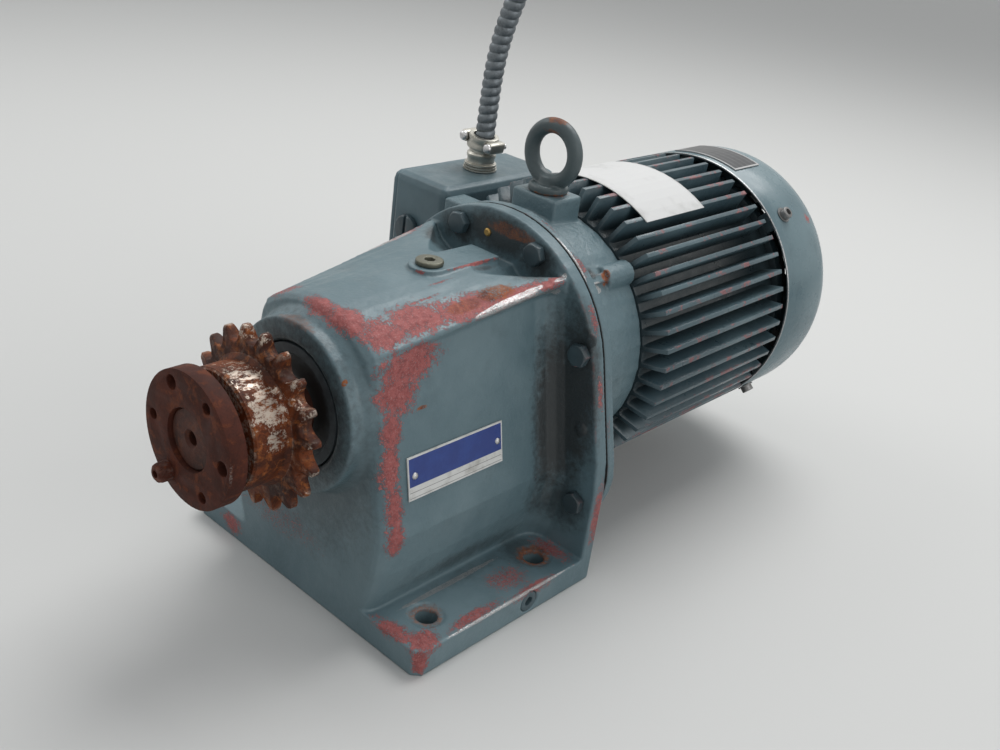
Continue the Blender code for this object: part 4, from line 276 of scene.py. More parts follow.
def coat(piece, look):
    """Gives a piece one material."""
    piece.data.materials.clear()
    piece.data.materials.append(look)


def dress(piece, look, slot, *nodes, body=FRAME_BODY):
    """Gives a piece its material, the nodes it stands for and the body it rides on; the slot is not used."""
    coat(piece, look)
    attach(piece, body)
    if nodes:
        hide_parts(*nodes)
    return piece


def darker(colour, share):
    return tuple(channel * share for channel in colour)


# Material helpers


class Look:
    """A material that is built up from masks over the object's own coordinates."""

    def __init__(self, name, roughness, metallic=0.0):
        self.material = bpy.data.materials.new(name)
        self.material.use_nodes = True
        self.tree = self.material.node_tree
        self.shader = self.tree.nodes["Principled BSDF"]
        self.shader.inputs["Roughness"].default_value = roughness
        self.shader.inputs["Metallic"].default_value = metallic
        self.place = self.node("TexCoord", {}).outputs["Object"]

    def put(self, value, socket):
        """Links an output, or writes a number or colour."""
        if isinstance(value, bpy.types.NodeSocket):
            self.tree.links.new(value, socket)
        elif isinstance(value, tuple) and len(value) == 3 and socket.type == "RGBA":
            socket.default_value = (*value, 1)
        else:
            socket.default_value = value

    def node(self, kind, inputs, **settings):
        """A new node with its settings, and its inputs by name or number."""
        made = self.tree.nodes.new("ShaderNode" + kind)
        for name, value in settings.items():
            setattr(made, name, value)
        for name, value in inputs.items():
            self.put(value, made.inputs[name])
        return made

    def math(self, operation, a, b):
        return self.node("Math", {0: a, 1: b}, operation=operation).outputs[0]

    def add(self, a, b):
        return self.math("ADD", a, b)

    def minus(self, a, b):
        return self.math("SUBTRACT", a, b)

    def times(self, a, b):
        return self.math("MULTIPLY", a, b)

    def most(self, *values):
        found = values[0]
        for value in values[1:]:
            found = self.math("MAXIMUM", found, value)
        return found

    def vector(self, operation, a, b=(0, 0, 0)):
        made = self.node("VectorMath", {0: a, 1: b}, operation=operation)
        return made.outputs["Value" if operation == "LENGTH" else "Vector"]

    def noise(self, scale, detail=5.0, rough=0.6, shift=0.0, stretch=None, warp=0.0):
        where = self.place
        if stretch:
            where = self.vector("MULTIPLY", where, stretch)
        if shift:
            where = self.vector("ADD", where, (shift, shift * 1.7, shift * 0.6))
        inputs = {"Vector": where, "Scale": scale, "Detail": detail, "Roughness": rough, "Distortion": warp}
        return self.node("TexNoise", inputs).outputs[0]

    def between(self, value, low, high):
        """0 below low, 1 above high and smooth between. With low above high it falls instead."""
        falls = low > high
        inputs = {"Value": value, "From Min": min(low, high), "From Max": max(low, high),
                  "To Min": float(falls), "To Max": float(not falls)}
        return self.node("MapRange", inputs, interpolation_type="SMOOTHSTEP").outputs[0]

    def within(self, value, low, high, soft=0.0002):
        """1 from low to high, with both ends softened inwards."""
        return self.times(self.between(value, low, low + soft), self.between(value, high, high - soft))

    def mix(self, share, a, b, data_type="RGBA", kind="RGBA"):
        made = self.node("Mix", {"Factor": share, "A": a, "B": b}, data_type=data_type)
        return next(out for out in made.outputs if out.type == kind)

    def blend(self, share, a, b):
        """A mix of two numbers."""
        return self.mix(share, a, b, "FLOAT", "VALUE")

    def over(self, colour, tone, mask, share):
        """The colour, with a share of the tone over it where the mask is."""
        return self.mix(self.times(mask, share), colour, tone)

    def axis(self, name):
        return self.node("SeparateXYZ", {0: self.place}).outputs[name]

    def weighed(self, a, part, b, rest):
        return self.add(self.times(a, part), self.times(b, rest))

    def jag(self, value, noise, amount):
        """A value made uneven by a noise that swings about a half."""
        return self.add(value, self.times(self.minus(noise, 0.5), amount))

    def blob(self, spot):
        """1 at the centre of an ellipsoid, 0 on its surface and negative outside."""
        centre, radii = (tuple(number / 1000 for number in spot[i:i + 3]) for i in (0, 3))
        scaled = self.vector("DIVIDE", self.vector("SUBTRACT", self.place, centre), radii)
        return self.minus(1.0, self.vector("LENGTH", scaled))

    def radius(self):
        """The distance from the shaft line."""
        away = self.vector("SUBTRACT", self.place, (0, 0, SHAFT_Z))
        return self.vector("LENGTH", self.vector("MULTIPLY", away, (1, 0, 1)))

    def pointed(self, low, high):
        """1 on outer edges if low is below high, and 1 in hollows if it is above."""
        return self.between(self.node("NewGeometry", {}).outputs["Pointiness"], low, high)

    def bump(self, height, distance, strength):
        return self.node("Bump", {"Strength": strength, "Distance": distance, "Height": height}).outputs[0]

    def done(self, colour, roughness=None, metallic=None, normal=None):
        values = {"Base Color": colour, "Roughness": roughness, "Metallic": metallic, "Normal": normal}
        for name, value in values.items():
            if value is not None:
                self.put(value, self.shader.inputs[name])
        return self.material


def painted(name, light, dark, edge_wear, chips, grain, roughness, chipped_edges=0.0, valley_shade=None,
            primer_spots=(), dirt_and_shade_spots=(), rust_spots=(), bare_lines=()):
    """Worn machine enamel over red primer on a casting, with painted shade in hollows and between fins."""
    look = Look(name, roughness)
    broad = look.noise(14, 4, 0.55)
    fine = look.noise(260, 6, 0.7, shift=3.1)
    middle = look.noise(75, 6, 0.65, shift=1.3)
    speck = look.noise(900, 4, 0.75, shift=7.7)
    colour = look.mix(look.between(broad, 0.35, 0.68), dark, light)
    smear = look.between(look.noise(38, 5, 0.6, shift=5.0), 0.50, 0.78)
    colour = look.over(colour, darker(dark, 0.62), smear, 0.35)
    # Painted shade: the enamel darkens in hollows and creases, where shade falls.
    colour = look.over(colour, darker(dark, 0.45), look.pointed(0.49, 0.42), 0.55)
    # Painted shade between the fins: the enamel darkens below the crests, where the fins shade each other.
    if valley_shade:
        colour = look.over(colour, darker(dark, 0.25), look.between(look.radius(), *valley_shade), 0.85)

    def spotted(spots, hard, ragged=0.9):
        masks = []
        for spot in spots:
            jagged = look.jag(look.jag(look.blob(spot), middle, ragged), fine, ragged * 1.3)
            masks.append(look.times(look.between(jagged, 0.0, hard), spot[6] if len(spot) > 6 else 1.0))
        return look.most(*masks)

    # Dirt and painted shade: near-black spots in fillets and on faces turned from the light.
    if dirt_and_shade_spots:
        colour = look.mix(spotted(dirt_and_shade_spots, 0.55, 0.5), colour, DIRT_AND_SHADE_TONE)
    rough = look.blend(look.between(middle, 0.3, 0.7), roughness - 0.06, roughness + 0.12)
    relief = look.weighed(fine, 0.5, middle, 1.2)

    edge = look.pointed(0.515, 0.60)
    worn = look.between(look.weighed(edge, 0.55 * edge_wear, fine, 0.62), 0.56, 0.63)
    loose = look.between(look.weighed(speck, 0.55, middle, 0.45 * chips), 0.60, 0.64)
    primer = look.most(worn, look.times(loose, 0.7))
    start = 0.54 if valley_shade else 0.57
    clusters = look.between(look.noise(60, 5, 0.7, shift=8.8), start, start + 0.05)
    clusters = look.times(clusters, look.between(fine, 0.40, 0.47))
    if valley_shade:
        clusters = look.times(clusters, look.between(look.radius(), *FIN_CREST))
    primer = look.most(primer, look.times(look.times(edge, clusters), chipped_edges))
    if primer_spots:
        patches = spotted(primer_spots, 0.72)
        # The paint breaks up into specks towards each patch's edge, and a few islands of it stay inside.
        broken = look.jag(patches, look.blend(0.35, speck, look.noise(1700, 3, 0.7, shift=9.4)), 5.2)
        patches = look.times(look.between(broken, 0.34, 0.50), look.between(patches, 0.0, 0.12))
        primer = look.most(primer, patches)
    tone = look.mix(look.between(fine, 0.35, 0.65), PRIMER_DARK, PRIMER)
    tone = look.over(tone, PRIMER_PALE, look.between(speck, 0.52, 0.66), 0.6)
    colour = look.mix(primer, colour, tone)
    rough = look.blend(primer, rough, 0.72)

    bare = look.between(look.weighed(edge, 0.52 * edge_wear, speck, 0.60), 0.64, 0.69)
    if bare_lines:
        glints = look.between(look.noise(1500, 3, 0.7, shift=2.2), 0.40, 0.50)
        bare = look.most(bare, look.times(spotted(bare_lines, 0.15, 0.35), glints))
    colour = look.mix(bare, colour, BARE_STEEL)
    rough = look.blend(bare, rough, 0.38)

    if rust_spots:
        rust = spotted(rust_spots, 0.35)
        tone = look.mix(look.between(fine, 0.35, 0.65), RUST, RUST_YELLOW)
        tone = look.mix(look.between(middle, 0.50, 0.68), tone, RUST_DARK)
        colour = look.mix(look.times(rust, look.between(speck, 0.36, 0.50)), colour, tone)
        rough = look.blend(rust, rough, 0.85)
    relief = look.minus(relief, look.times(primer, 0.45))
    return look.done(colour, rough, look.times(bare, 0.8), look.bump(relief, 0.00060 * grain, 0.70))


def metal(name, colour, dark, roughness, metallic=1.0, stains=0.4, brushed=None):
    """Plain metal with light staining, and lathe or brush marks if a stretch is given."""
    look = Look(name, roughness, metallic)
    middle = look.noise(120, 6, 0.65)
    fine = look.noise(700, 5, 0.7, shift=2.0)
    stained = look.between(look.weighed(middle, 0.6, fine, 0.4), 0.46, 0.66)
    tone = look.over(colour, dark, stained, stains)
    relief = look.noise(900, 3, 0.6, stretch=brushed) if brushed else fine
    rough = look.blend(stained, roughness, min(roughness + 0.25, 1.0))
    return look.done(tone, rough, None, look.bump(relief, 0.00006, 0.5))


def rusted(name, bright_spots, base=RUST_DARK, mid=RUST, high=RUST_YELLOW, dull=0.66,
           bare=(0.46, 0.40, 0.34), shine=0.9, speckle=0.6):
    """Oily rust, worn bright in patches by rubbing; the given bright spots are partly painted highlights."""
    look = Look(name, dull)
    look.shader.inputs["Specular IOR Level"].default_value = 0.22
    broad = look.noise(45, 6, 0.62, warp=0.6)
    middle = look.noise(150, 6, 0.68, shift=1.0, warp=0.4)
    fine = look.noise(700, 5, 0.72, shift=4.0)
    colour = look.mix(look.between(broad, 0.40, 0.62), base, mid)
    colour = look.over(colour, high, look.between(middle, 0.50, 0.66), 0.8)
    pits = look.between(look.blend(0.5, fine, look.noise(320, 5, 0.7, shift=6.0)), 0.50, 0.42)
    colour = look.over(colour, darker(base, 0.5), pits, speckle)
    colour = look.over(colour, darker(base, 0.4), look.pointed(0.485, 0.42), 0.6)
    rubbed_and_glints = look.times(look.pointed(0.53, 0.62), look.between(middle, 0.40, 0.55))
    # Bright spots: rubbed steel and painted highlights where light glints on the teeth and hub.
    for spot in bright_spots:
        jagged = look.jag(look.jag(look.jag(look.blob(spot), broad, 1.6), middle, 2.6), fine, 2.2)
        rubbed_and_glints = look.most(rubbed_and_glints, look.between(jagged, 0.08, 0.34))
    streaks = look.noise(330, 6, 0.72, shift=5.5, stretch=(1.0, 0.45, 1.0))
    rubbed_and_glints = look.times(rubbed_and_glints, look.between(streaks, 0.43, 0.55))
    colour = look.over(colour, bare, rubbed_and_glints, shine)
    rough = look.blend(rubbed_and_glints, look.blend(middle, dull - 0.12, dull + 0.18), 0.33)
    height = look.weighed(middle, 1.0, fine, 0.5)
    return look.done(colour, rough, look.times(rubbed_and_glints, 0.85), look.bump(height, 0.00035, 0.7))


def plain(name, colour, roughness):
    """Rubber, plastic or paper with a faint grain."""
    look = Look(name, roughness)
    middle = look.noise(60, 5, 0.6)
    fine = look.noise(500, 4, 0.6, shift=2.0)
    tone = look.over(colour, darker(colour, 0.6), look.between(middle, 0.35, 0.7), 0.25)
    rough = look.blend(fine, roughness - 0.05, roughness + 0.08)
    return look.done(tone, rough, None, look.bump(fine, 0.00005, 0.5))


def shaded_seal_look():
    """A seal painted over at its rim, and black towards the shaft with painted shade of its recess."""
    look = Look("seal_painted_shade", 0.45)
    middle = look.noise(200, 5, 0.6)
    reach = look.jag(look.radius(), middle, 0.006)
    painted_rim = look.mix(look.between(middle, 0.35, 0.65), (0.040, 0.052, 0.058), (0.064, 0.082, 0.090))
    # Painted shade: inside the rim the seal turns black, where its recess lies in shadow.
    colour = look.mix(look.between(reach, 0.0245, 0.0320), (0.010, 0.011, 0.011), painted_rim)
    return look.done(colour, look.blend(middle, 0.36, 0.60), None, look.bump(middle, 0.00015, 0.5))


# Spots of wear, dirt, painted shade and highlights: centre, radii and, if it isn't whole, share, in
# millimetres

CASE_PRIMER = (
    (2, -74, 188, 20, 9, 7),
    (23, -71, 186, 22, 12, 10),
    (38, -60, 182, 18, 20, 11),
    (38, -34, 185, 19, 32, 9),
    (44, -4, 187, 15, 36, 8),
    (50, 30, 190, 8, 36, 6),
    (54.5, 55, 193.5, 5, 22, 5),
    (50, -50, 167, 15, 30, 13),
    (53, -60, 152, 13, 18, 18),
    (57, -66, 134, 11, 9.5, 22),
    (60, -68, 112, 10, 9, 22),
    (64, -67, 88, 10, 9, 22),
    (68, -67, 70, 12, 9, 16),
    (80, -73, 18, 20, 8.5, 7, 0.9),
    (97, -66, 17, 12, 15, 7, 0.9),
    (103, -74, 10, 5, 9, 11),
    (100, -28, 18, 6, 30, 5, 0.75),
    (103, 20, 16, 4, 36, 5, 0.7),
    (88, 14, 18, 14, 20, 5, 0.5),
    (84, 60, 18, 20, 9, 5, 0.65),
    (12.2, 34, 195.2, 1.4, 30, 2.4),
    (4, -3.5, 194, 8, 2, 1.8, 0.8),
    (27, -20, 188, 1.8, 32, 3, 0.8),
    (18, 4, 191, 1.4, 18, 3, 0.65),
    (-68, -78, 10, 14, 6, 9, 0.75),
    (-20, -78, 40, 50, 5, 16, 0.16),
    (104, 74, 50, 4, 7, 30, 0.7),
    (92, 73, 130, 6, 4, 22, 0.6),
    (76, 73, 172, 10, 4, 16, 0.6),
    (-38, -66, 180, 22, 11, 9, 0.6),
    (-56, 30, 190, 6, 48, 6, 0.7),
    (-92, -72, 18, 16, 14, 7, 0.8),
)
CASE_BARE = (
    (53.5, 18, 188, 3.4, 66, 6),
    (55.5, 66, 195, 2, 10, 3),
    (-53.5, 18, 188, 2.6, 50, 5),
    (69, -18, 18, 2.2, 44, 2.6),
    (104.6, 0, 17.6, 1.6, 60, 1.6),
)
# Dirt and painted shade: dark spots in fillets by the flange and foot, and on the front face round the nose
CASE_DIRT_AND_SHADE = (
    (0, -86, 130, 64, 22, 64, 0.9),
    (0, -78, 110, 80, 18, 90, 0.5),
    (33, 58, 198, 23, 22, 16, 0.95),
    (-33, 58, 198, 23, 22, 16, 0.95),
    (0, 67, 204, 40, 10, 16, 0.9),
    (84, 58, 50, 26, 20, 26, 0.75),
    (76, 44, 20, 22, 20, 8, 0.6),
    (74, 62, 120, 34, 18, 95, 0.95),
    (68, 0, 26, 10, 70, 12, 0.55),
    (-74, 62, 120, 34, 18, 95, 0.8),
    (14.5, 30, 191.5, 2.2, 36, 2.2, 0.6),
    (0, -4.5, 190.5, 12, 4, 2.2, 0.6),
)
CASE_RUST = (
    (43, 22, 190, 8, 17, 4, 0.85),
    (42, -4, 187, 6, 16, 4, 0.55),
    (82, -49, 17.2, 11.5, 11.5, 4, 0.6),
    (82, 46, 17.2, 12.5, 12.5, 4, 0.8),
    (-82, -49, 17.2, 11.5, 11.5, 4, 0.6),
    (-82, 46, 17.2, 11.5, 11.5, 4, 0.6),
    (-4, -87, 181, 24, 5, 4, 0.35),
    (10, 66.5, 208.5, 22, 3, 5, 0.55),
    (55, -43, 140, 2.6, 4, 1.4),
    (40, -87, 161, 1.5, 2.5, 2.5),
)
SHIELD_PRIMER = (
    (34, 82, 218, 16, 4, 6, 0.55),
    (56, 81, 201, 10, 4, 10, 0.55),
    (30, 94, 222, 14, 5, 4, 0.5),
    (100, 80, 120, 5, 3, 26, 0.4),
    (-58, 82, 200, 12, 4, 12, 0.5),
)
SHIELD_BARE = (
    (52, 78.5, 206, 20, 1.2, 20),
    (63.5, 88, 186, 2.2, 8, 6),
)
SHIELD_RUST = (
    (61.5, 100, 191, 3, 4, 8),
    (0, 108.7, 226.5, 14.5, 14.5, 1.2, 0.9),
)
# Spots where the adapter's enamel darkens to near black
SHIELD_DARK_SPOTS = (
    (57, 90, 194, 6, 8, 7, 0.9),
    (0, 126, 218, 60, 5, 20, 0.5),
)
EYE_RUST = (
    (0, 108.7, 271.5, 10, 6, 3, 0.75),
    (0, 108.7, 265, 11, 6, 2.5, 0.6),
    (0, 108.7, 226.8, 15, 15, 1.6, 1),
)
COVER_PRIMER = (
    (72, 333, 195, 6, 4, 6, 0.7),
    (86, 344, 150, 6, 3, 4, 0.7),
)
COVER_BARE = ((0, 285.6, 130, 160, 1.3, 160),)
BOX_BARE = (
    (-112, 109.3, 199.2, 24, 1, 1.2, 0.8),
    (-137.5, 110, 160, 1.2, 1.2, 40, 0.7),
)
# Rubbed steel and painted highlights on the sprocket's teeth and hub
SPROCKET_RUBBED_AND_GLINTS = (
    (27, -127, 154, 12, 10, 12),
    (10, -128, 163, 16, 10, 7),
    (34, -125, 137, 3, 6, 7),
    (-4, -112, 180, 18, 10, 5),
    (32, -112, 166, 5, 10, 5),
    (46, -113, 147, 5, 8, 6),
    (40, -113, 157, 5, 8, 5),
    (50.5, -113, 132, 4, 8, 5),
    (50, -113, 116, 4, 8, 5),
    (43, -113, 100, 5, 8, 5),
)
BUSHING_RUBBED = ((37.8, -155, 123, 1.2, 1.2, 11),)

# Materials

case_look = painted("case_enamel", PAINT_LIGHT, PAINT, edge_wear=0.42, chips=0.84, grain=1.3,
                    roughness=0.40, chipped_edges=0.7, primer_spots=CASE_PRIMER,
                    dirt_and_shade_spots=CASE_DIRT_AND_SHADE, rust_spots=CASE_RUST, bare_lines=CASE_BARE)
shield_look = painted("shield_enamel", PAINT_LIGHT, PAINT, edge_wear=0.45, chips=0.7, grain=2.6,
                      roughness=0.36, chipped_edges=0.8, primer_spots=SHIELD_PRIMER,
                      dirt_and_shade_spots=SHIELD_DARK_SPOTS, rust_spots=SHIELD_RUST, bare_lines=SHIELD_BARE)
box_look = painted("box_enamel", PAINT, PAINT_DARK, edge_wear=0.30, chips=0.5, grain=0.8,
                   roughness=0.38, bare_lines=BOX_BARE)
bolt_look = painted("bolt_enamel", PAINT_DARK, BOLT_PAINT_DARK, edge_wear=0.45, chips=0.6, grain=0.5,
                    roughness=0.34, chipped_edges=0.5)
eye_look = painted("eye_enamel", EYE_PAINT, EYE_PAINT_DARK, edge_wear=0.35, chips=0.8, grain=1.2,
                   roughness=0.42, chipped_edges=0.6, rust_spots=EYE_RUST)
motor_look = painted("motor_enamel", MOTOR_PAINT_LIGHT, MOTOR_PAINT, edge_wear=0.33, chips=0.55,
                     grain=1.1, roughness=0.32, chipped_edges=0.9, valley_shade=FIN_VALLEY_SHADE)
cover_look = painted("cover_enamel", PAINT_LIGHT, PAINT, edge_wear=0.10, chips=0.25, grain=0.10,
                     roughness=0.26, primer_spots=COVER_PRIMER, bare_lines=COVER_BARE)
steel_look = metal("ground_steel", (0.55, 0.55, 0.56), (0.25, 0.23, 0.21), 0.32)
dark_steel_look = metal("dull_steel", (0.22, 0.22, 0.22), (0.07, 0.06, 0.055), 0.42)
conduit_look = metal("conduit_steel", (0.165, 0.185, 0.200), (0.060, 0.066, 0.070), 0.46, metallic=0.75)
zinc_look = metal("dull_zinc", (0.46, 0.45, 0.41), (0.22, 0.20, 0.16), 0.34)
lamination_look = metal("laminations", (0.28, 0.28, 0.29), (0.12, 0.11, 0.10), 0.5, metallic=0.85,
                        stains=0.6, brushed=(0.02, 1.0, 0.02))
brass_look = metal("brass_pin", (0.42, 0.27, 0.09), (0.15, 0.08, 0.03), 0.45, metallic=0.8)
copper_look = metal("winding_copper", (0.50, 0.20, 0.08), (0.20, 0.07, 0.03), 0.4, metallic=0.7,
                    stains=0.5, brushed=(0.1, 1.0, 0.1))
vent_look = metal("olive_zinc", (0.135, 0.135, 0.105), (0.045, 0.045, 0.035), 0.45, metallic=0.7)
rubber_look = plain("rubber", (0.020, 0.020, 0.020), 0.6)
plastic_look = plain("black_plastic", (0.035, 0.035, 0.038), 0.5)
gasket_look = plain("gasket", (0.014, 0.014, 0.014), 0.8)
seal_look = shaded_seal_look()
sprocket_look = rusted("rusty_sprocket", SPROCKET_RUBBED_AND_GLINTS, dull=0.56)
bushing_look = rusted("brown_bushing", BUSHING_RUBBED, base=(0.044, 0.011, 0.006), mid=BROWN_OXIDE,
                      high=(0.150, 0.040, 0.015), dull=0.68, bare=(0.30, 0.24, 0.22), shine=0.5,
                      speckle=0.35)
shaft_look = rusted("brown_shaft", (), base=(0.034, 0.014, 0.010), mid=(0.072, 0.024, 0.015),
                    high=(0.13, 0.040, 0.018), dull=0.55, bare=(0.115, 0.050, 0.036), shine=0.5,
                    speckle=0.4)


def oil_plate_look():
    """A printed blue field in a white border, with two blank write-in bars, and no words."""
    look = Look("oil_plate_print", 0.38)
    along_y, up = look.axis("Y"), look.axis("Z")
    low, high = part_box("oil_plate")
    border, bars, line = 0.0008, 0.0078, 0.0004
    top = high.z - border
    inner = look.within(along_y, low.y + border, high.y - border)
    inner = look.times(inner, look.between(up, top - 0.0002, top - 0.0004))
    blue = look.times(inner, look.between(up, low.z + bars, low.z + bars + 0.0002))
    mottle = look.noise(90, 5, 0.6)
    white = look.mix(look.between(mottle, 0.45, 0.75), (0.62, 0.62, 0.60), (0.40, 0.39, 0.36))
    field = look.mix(look.between(mottle, 0.4, 0.7), (0.012, 0.035, 0.190), (0.018, 0.050, 0.230))
    colour = look.mix(blue, white, field)
    rules = look.most(*(look.within(up, low.z + z, low.z + z + line, 0.0001) for z in (0.0044, 0.0012)))
    colour = look.over(colour, (0.03, 0.03, 0.035), look.times(rules, inner), 0.8)
    scratches = look.between(look.noise(300, 5, 0.8, stretch=(1, 0.5, 0.3)), 0.66, 0.74)
    colour = look.over(colour, (0.55, 0.55, 0.55), scratches, 0.5)
    return look.done(colour, look.blend(mottle, 0.30, 0.50), None, look.bump(mottle, 0.00005, 0.4))


def name_plate_look():
    """A dark anodised plate with a silver rim and thin blank rules."""
    look = Look("name_plate_print", 0.35, 0.4)
    low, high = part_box("motor_nameplate")
    across, along_y = look.axis("X"), look.axis("Y")
    rim, line, rows = 0.0014, 0.0005, 5
    inside = look.times(look.within(across, low.x + rim, high.x - rim),
                        look.within(along_y, low.y + rim, high.y - rim))
    mottle = look.noise(140, 5, 0.6)
    dark = look.mix(mottle, (0.020, 0.022, 0.026), (0.045, 0.048, 0.052))
    colour = look.mix(inside, (0.40, 0.40, 0.40), dark)
    for row in range(1, rows):
        y = low.y + (high.y - low.y) * row / rows
        rule = look.within(along_y, y, y + line, 0.0001)
        colour = look.over(colour, (0.30, 0.30, 0.30), look.times(rule, inside), 0.55)
    return look.done(colour, look.blend(mottle, 0.25, 0.45), None, look.bump(mottle, 0.00004, 0.4))


def label_look():
    """Bare white paper, a little soiled along its edges."""
    look = Look("label_paper", 0.75)
    mottle = look.noise(50, 5, 0.6)
    fibre = look.noise(1500, 3, 0.6, shift=1.0)
    low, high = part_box("paper_label")
    edge = look.most(look.between(look.axis("Y"), low.y + 0.003, low.y),
                     look.between(look.axis("Y"), high.y - 0.003, high.y))
    colour = look.mix(look.between(mottle, 0.5, 0.8), (0.60, 0.60, 0.59), (0.48, 0.48, 0.465))
    colour = look.over(colour, (0.35, 0.34, 0.32), edge, 0.35)
    return look.done(colour, None, None, look.bump(look.add(look.times(fibre, 0.3), mottle), 0.0002, 0.4))


# Conduit and its connectors


def smooth_route(points, step):
    """Points about a step apart on a smooth curve through the route."""
    found = []
    ends = [points[0] * 2 - points[1], *points, points[-1] * 2 - points[-2]]
    for a, b, c, d in zip(ends, ends[1:], ends[2:], ends[3:]):
        count = max(2, round((c - b).length / step))
        for i in range(count):
            t = i / count
            found.append(0.5 * (2 * b + (c - a) * t + (2 * a - 5 * b + 4 * c - d) * t * t
                                + (3 * b - 3 * c + d - a) * t ** 3))
    found.append(points[-1])
    return found


def make_conduit():
    """The strip-wound conduit: a tube whose wall swells into a rib on each turn of a long helix."""
    route = [Vector(point) for point in CONDUIT_ROUTE]
    route.insert(0, route[0] - Vector((0, 0, CONDUIT_SOCKET)))
    line = smooth_route(route, RIB_PITCH / 12)
    around = 36
    work = bmesh.new()
    loops = []
    run = 0.0
    side = Vector((1, 0, 0))
    for i, point in enumerate(line):
        if i:
            run += (point - line[i - 1]).length
        ahead = (line[min(i + 1, len(line) - 1)] - line[max(i - 1, 0)]).normalized()
        side = (side - ahead * side.dot(ahead)).normalized()
        other = ahead.cross(side)
        loop = []
        for k, (x, y) in enumerate(circle(1.0, around)):
            swell = abs(math.sin(math.pi * (run / RIB_PITCH - k / around))) ** 0.55
            radius = CONDUIT_RADIUS - RIB_DEPTH * (1 - swell)
            loop.append(work.verts.new(point + (side * x + other * y) * radius))
        loops.append(loop)
    loops_to_faces(work, loops, closed=False)
    work.faces.new(loops[0])
    work.faces.new(loops[-1])
    tube = dress(new_object("conduit_tube", work, 70), conduit_look, "dark_steel", "conduit")
    return tube, line, run


def add_hex(work, flats, low, high, place):
    """Adds a hexagon nut with its corners turned off at the high end."""
    steps = 48
    inner = flats / 2 * 0.94
    loops = [[], [], []]
    for i in range(steps):
        angle = 2 * math.pi * i / steps
        corner = (angle + math.pi / 6) % (math.pi / 3) - math.pi / 6
        radius = flats / 2 / math.cos(corner)
        drop = (radius - inner) * 0.55 + 0.0001
        for loop, reach, height in zip(loops, (radius, radius, inner), (low, high - drop, high)):
            point = Vector((reach * math.cos(angle), reach * math.sin(angle), height))
            loop.append(work.verts.new(place @ point))
    loops_to_faces(work, loops, closed=False)
    work.faces.new(loops[0])
    work.faces.new(loops[-1])


def make_end_connector():
    """The fitting on the conduit's free end: gland nut, hexagon and threaded nipple."""
    last, before = Vector(CONDUIT_ROUTE[-1]), Vector(CONDUIT_ROUTE[-2])
    place = along((last - before).normalized(), last)
    threads = [(9.5 + 1.1 * i, 9.8 - 0.5 * (i % 2)) for i in range(9)]
    nipple = profile(0, (-9.5, 7.6), (-9.8, 10), (3, 10.6), (3, 11.2), (4.5, 11.2), (4.5, 9.8), *threads,
                     (19.5, 9.2), (19.5, 7), (0.4, 7), (0.4, 7.6))
    fitting = turned("conduit_end_fitting", nipple, place, 64, 40)
    dress(fitting, zinc_look, "zinc", "conduit_end_connector")
    work = bmesh.new()
    add_hex(work, 0.0210, 0.0042, 0.0098, place)
    nut = dress(new_object("conduit_end_nut", work, 30), zinc_look, "zinc")
    return [fitting, nut]


CONNECTOR_SEAT_Z, HOOP_Z = 0.2003, 0.2210
HOOP_TILT = math.radians(9)


def make_cable_connector():
    """The squeeze connector on the box: ringed locknut, neck, and a tilted clamp with its screws."""
    low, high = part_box("cable_connector")
    x, y = (low.x + high.x) / 2, (low.y + high.y) / 2
    points = [(0, 0), (0, 12.1)]
    for ring in range(3):
        base = 0.2 + 1.9 * ring
        out = 12.5 - 0.3 * ring
        points += [(base, out), (base + 1.1, out), (base + 1.4, out - 1.1), (base + 1.8, out - 1.1)]
    points += [(6, 10.2), (8.5, 10), (10, 10.8), (12, 10.8), (13.5, 9.4), (16.5, 9.4), (16.5, 0)]
    seat = Matrix.Translation((x, y, CONNECTOR_SEAT_Z))
    dress(turned("connector_body", profile(0, *points), seat, 72, 40), zinc_look, "zinc", "cable_connector")
    tilt = Matrix.Translation((x, y, HOOP_Z)) @ Matrix.Rotation(HOOP_TILT, 4, "Y")
    hoop = profile(0, (-4.5, 7.9), (-5, 9.5), (-4.6, 11), (-3, 11.4), (-0.8, 10.6), (1.4, 10.6), (3.4, 11.4),
                   (5, 11), (5.4, 9.5), (5, 7.9))
    dress(turned("connector_hoop", hoop, tilt, 64, 40), zinc_look, "zinc")
    head = profile(0, (7.5, 0), (7.5, 3.6), (8.8, 3.5), (9.8, 2.8), (10.3, 1.5), (10.3, 0))
    shank = pin(-10.5, 7.8, 2.2)
    for number, side in enumerate((-1, 1), 1):
        work = bmesh.new()
        near, far = sorted((side * 0.0095, side * 0.0155))
        add_box(work, (near, -0.0080, -0.0038), (far, 0.0080, 0.0042), tilt)
        dress(bevel(new_object(f"connector_ear_{number}", work), 0.0014, 3), zinc_look, "zinc")
        post = tilt @ along((0, -1, 0), (side * 0.0122, 0, 0.0002))
        screw = turned(f"connector_screw_{number}", head, post, 32, 40, ((shank, 24),))
        dress(screw, steel_look, "zinc")


# Gear case side

CAST_VOXEL = 0.0009
FLANGE_BOSSES = ((0.0863, 0.1058), (0.0813, 0.1640), (-0.0863, 0.1058))
LEVEL_PIN_AT = (-0.0091, 0.0668, 0.2024)
EYE_Y, EYE_SEAT_Z = 0.1087, 0.2265
BOLT_FLATS, BOLT_HEAD = 0.0130, 0.0055


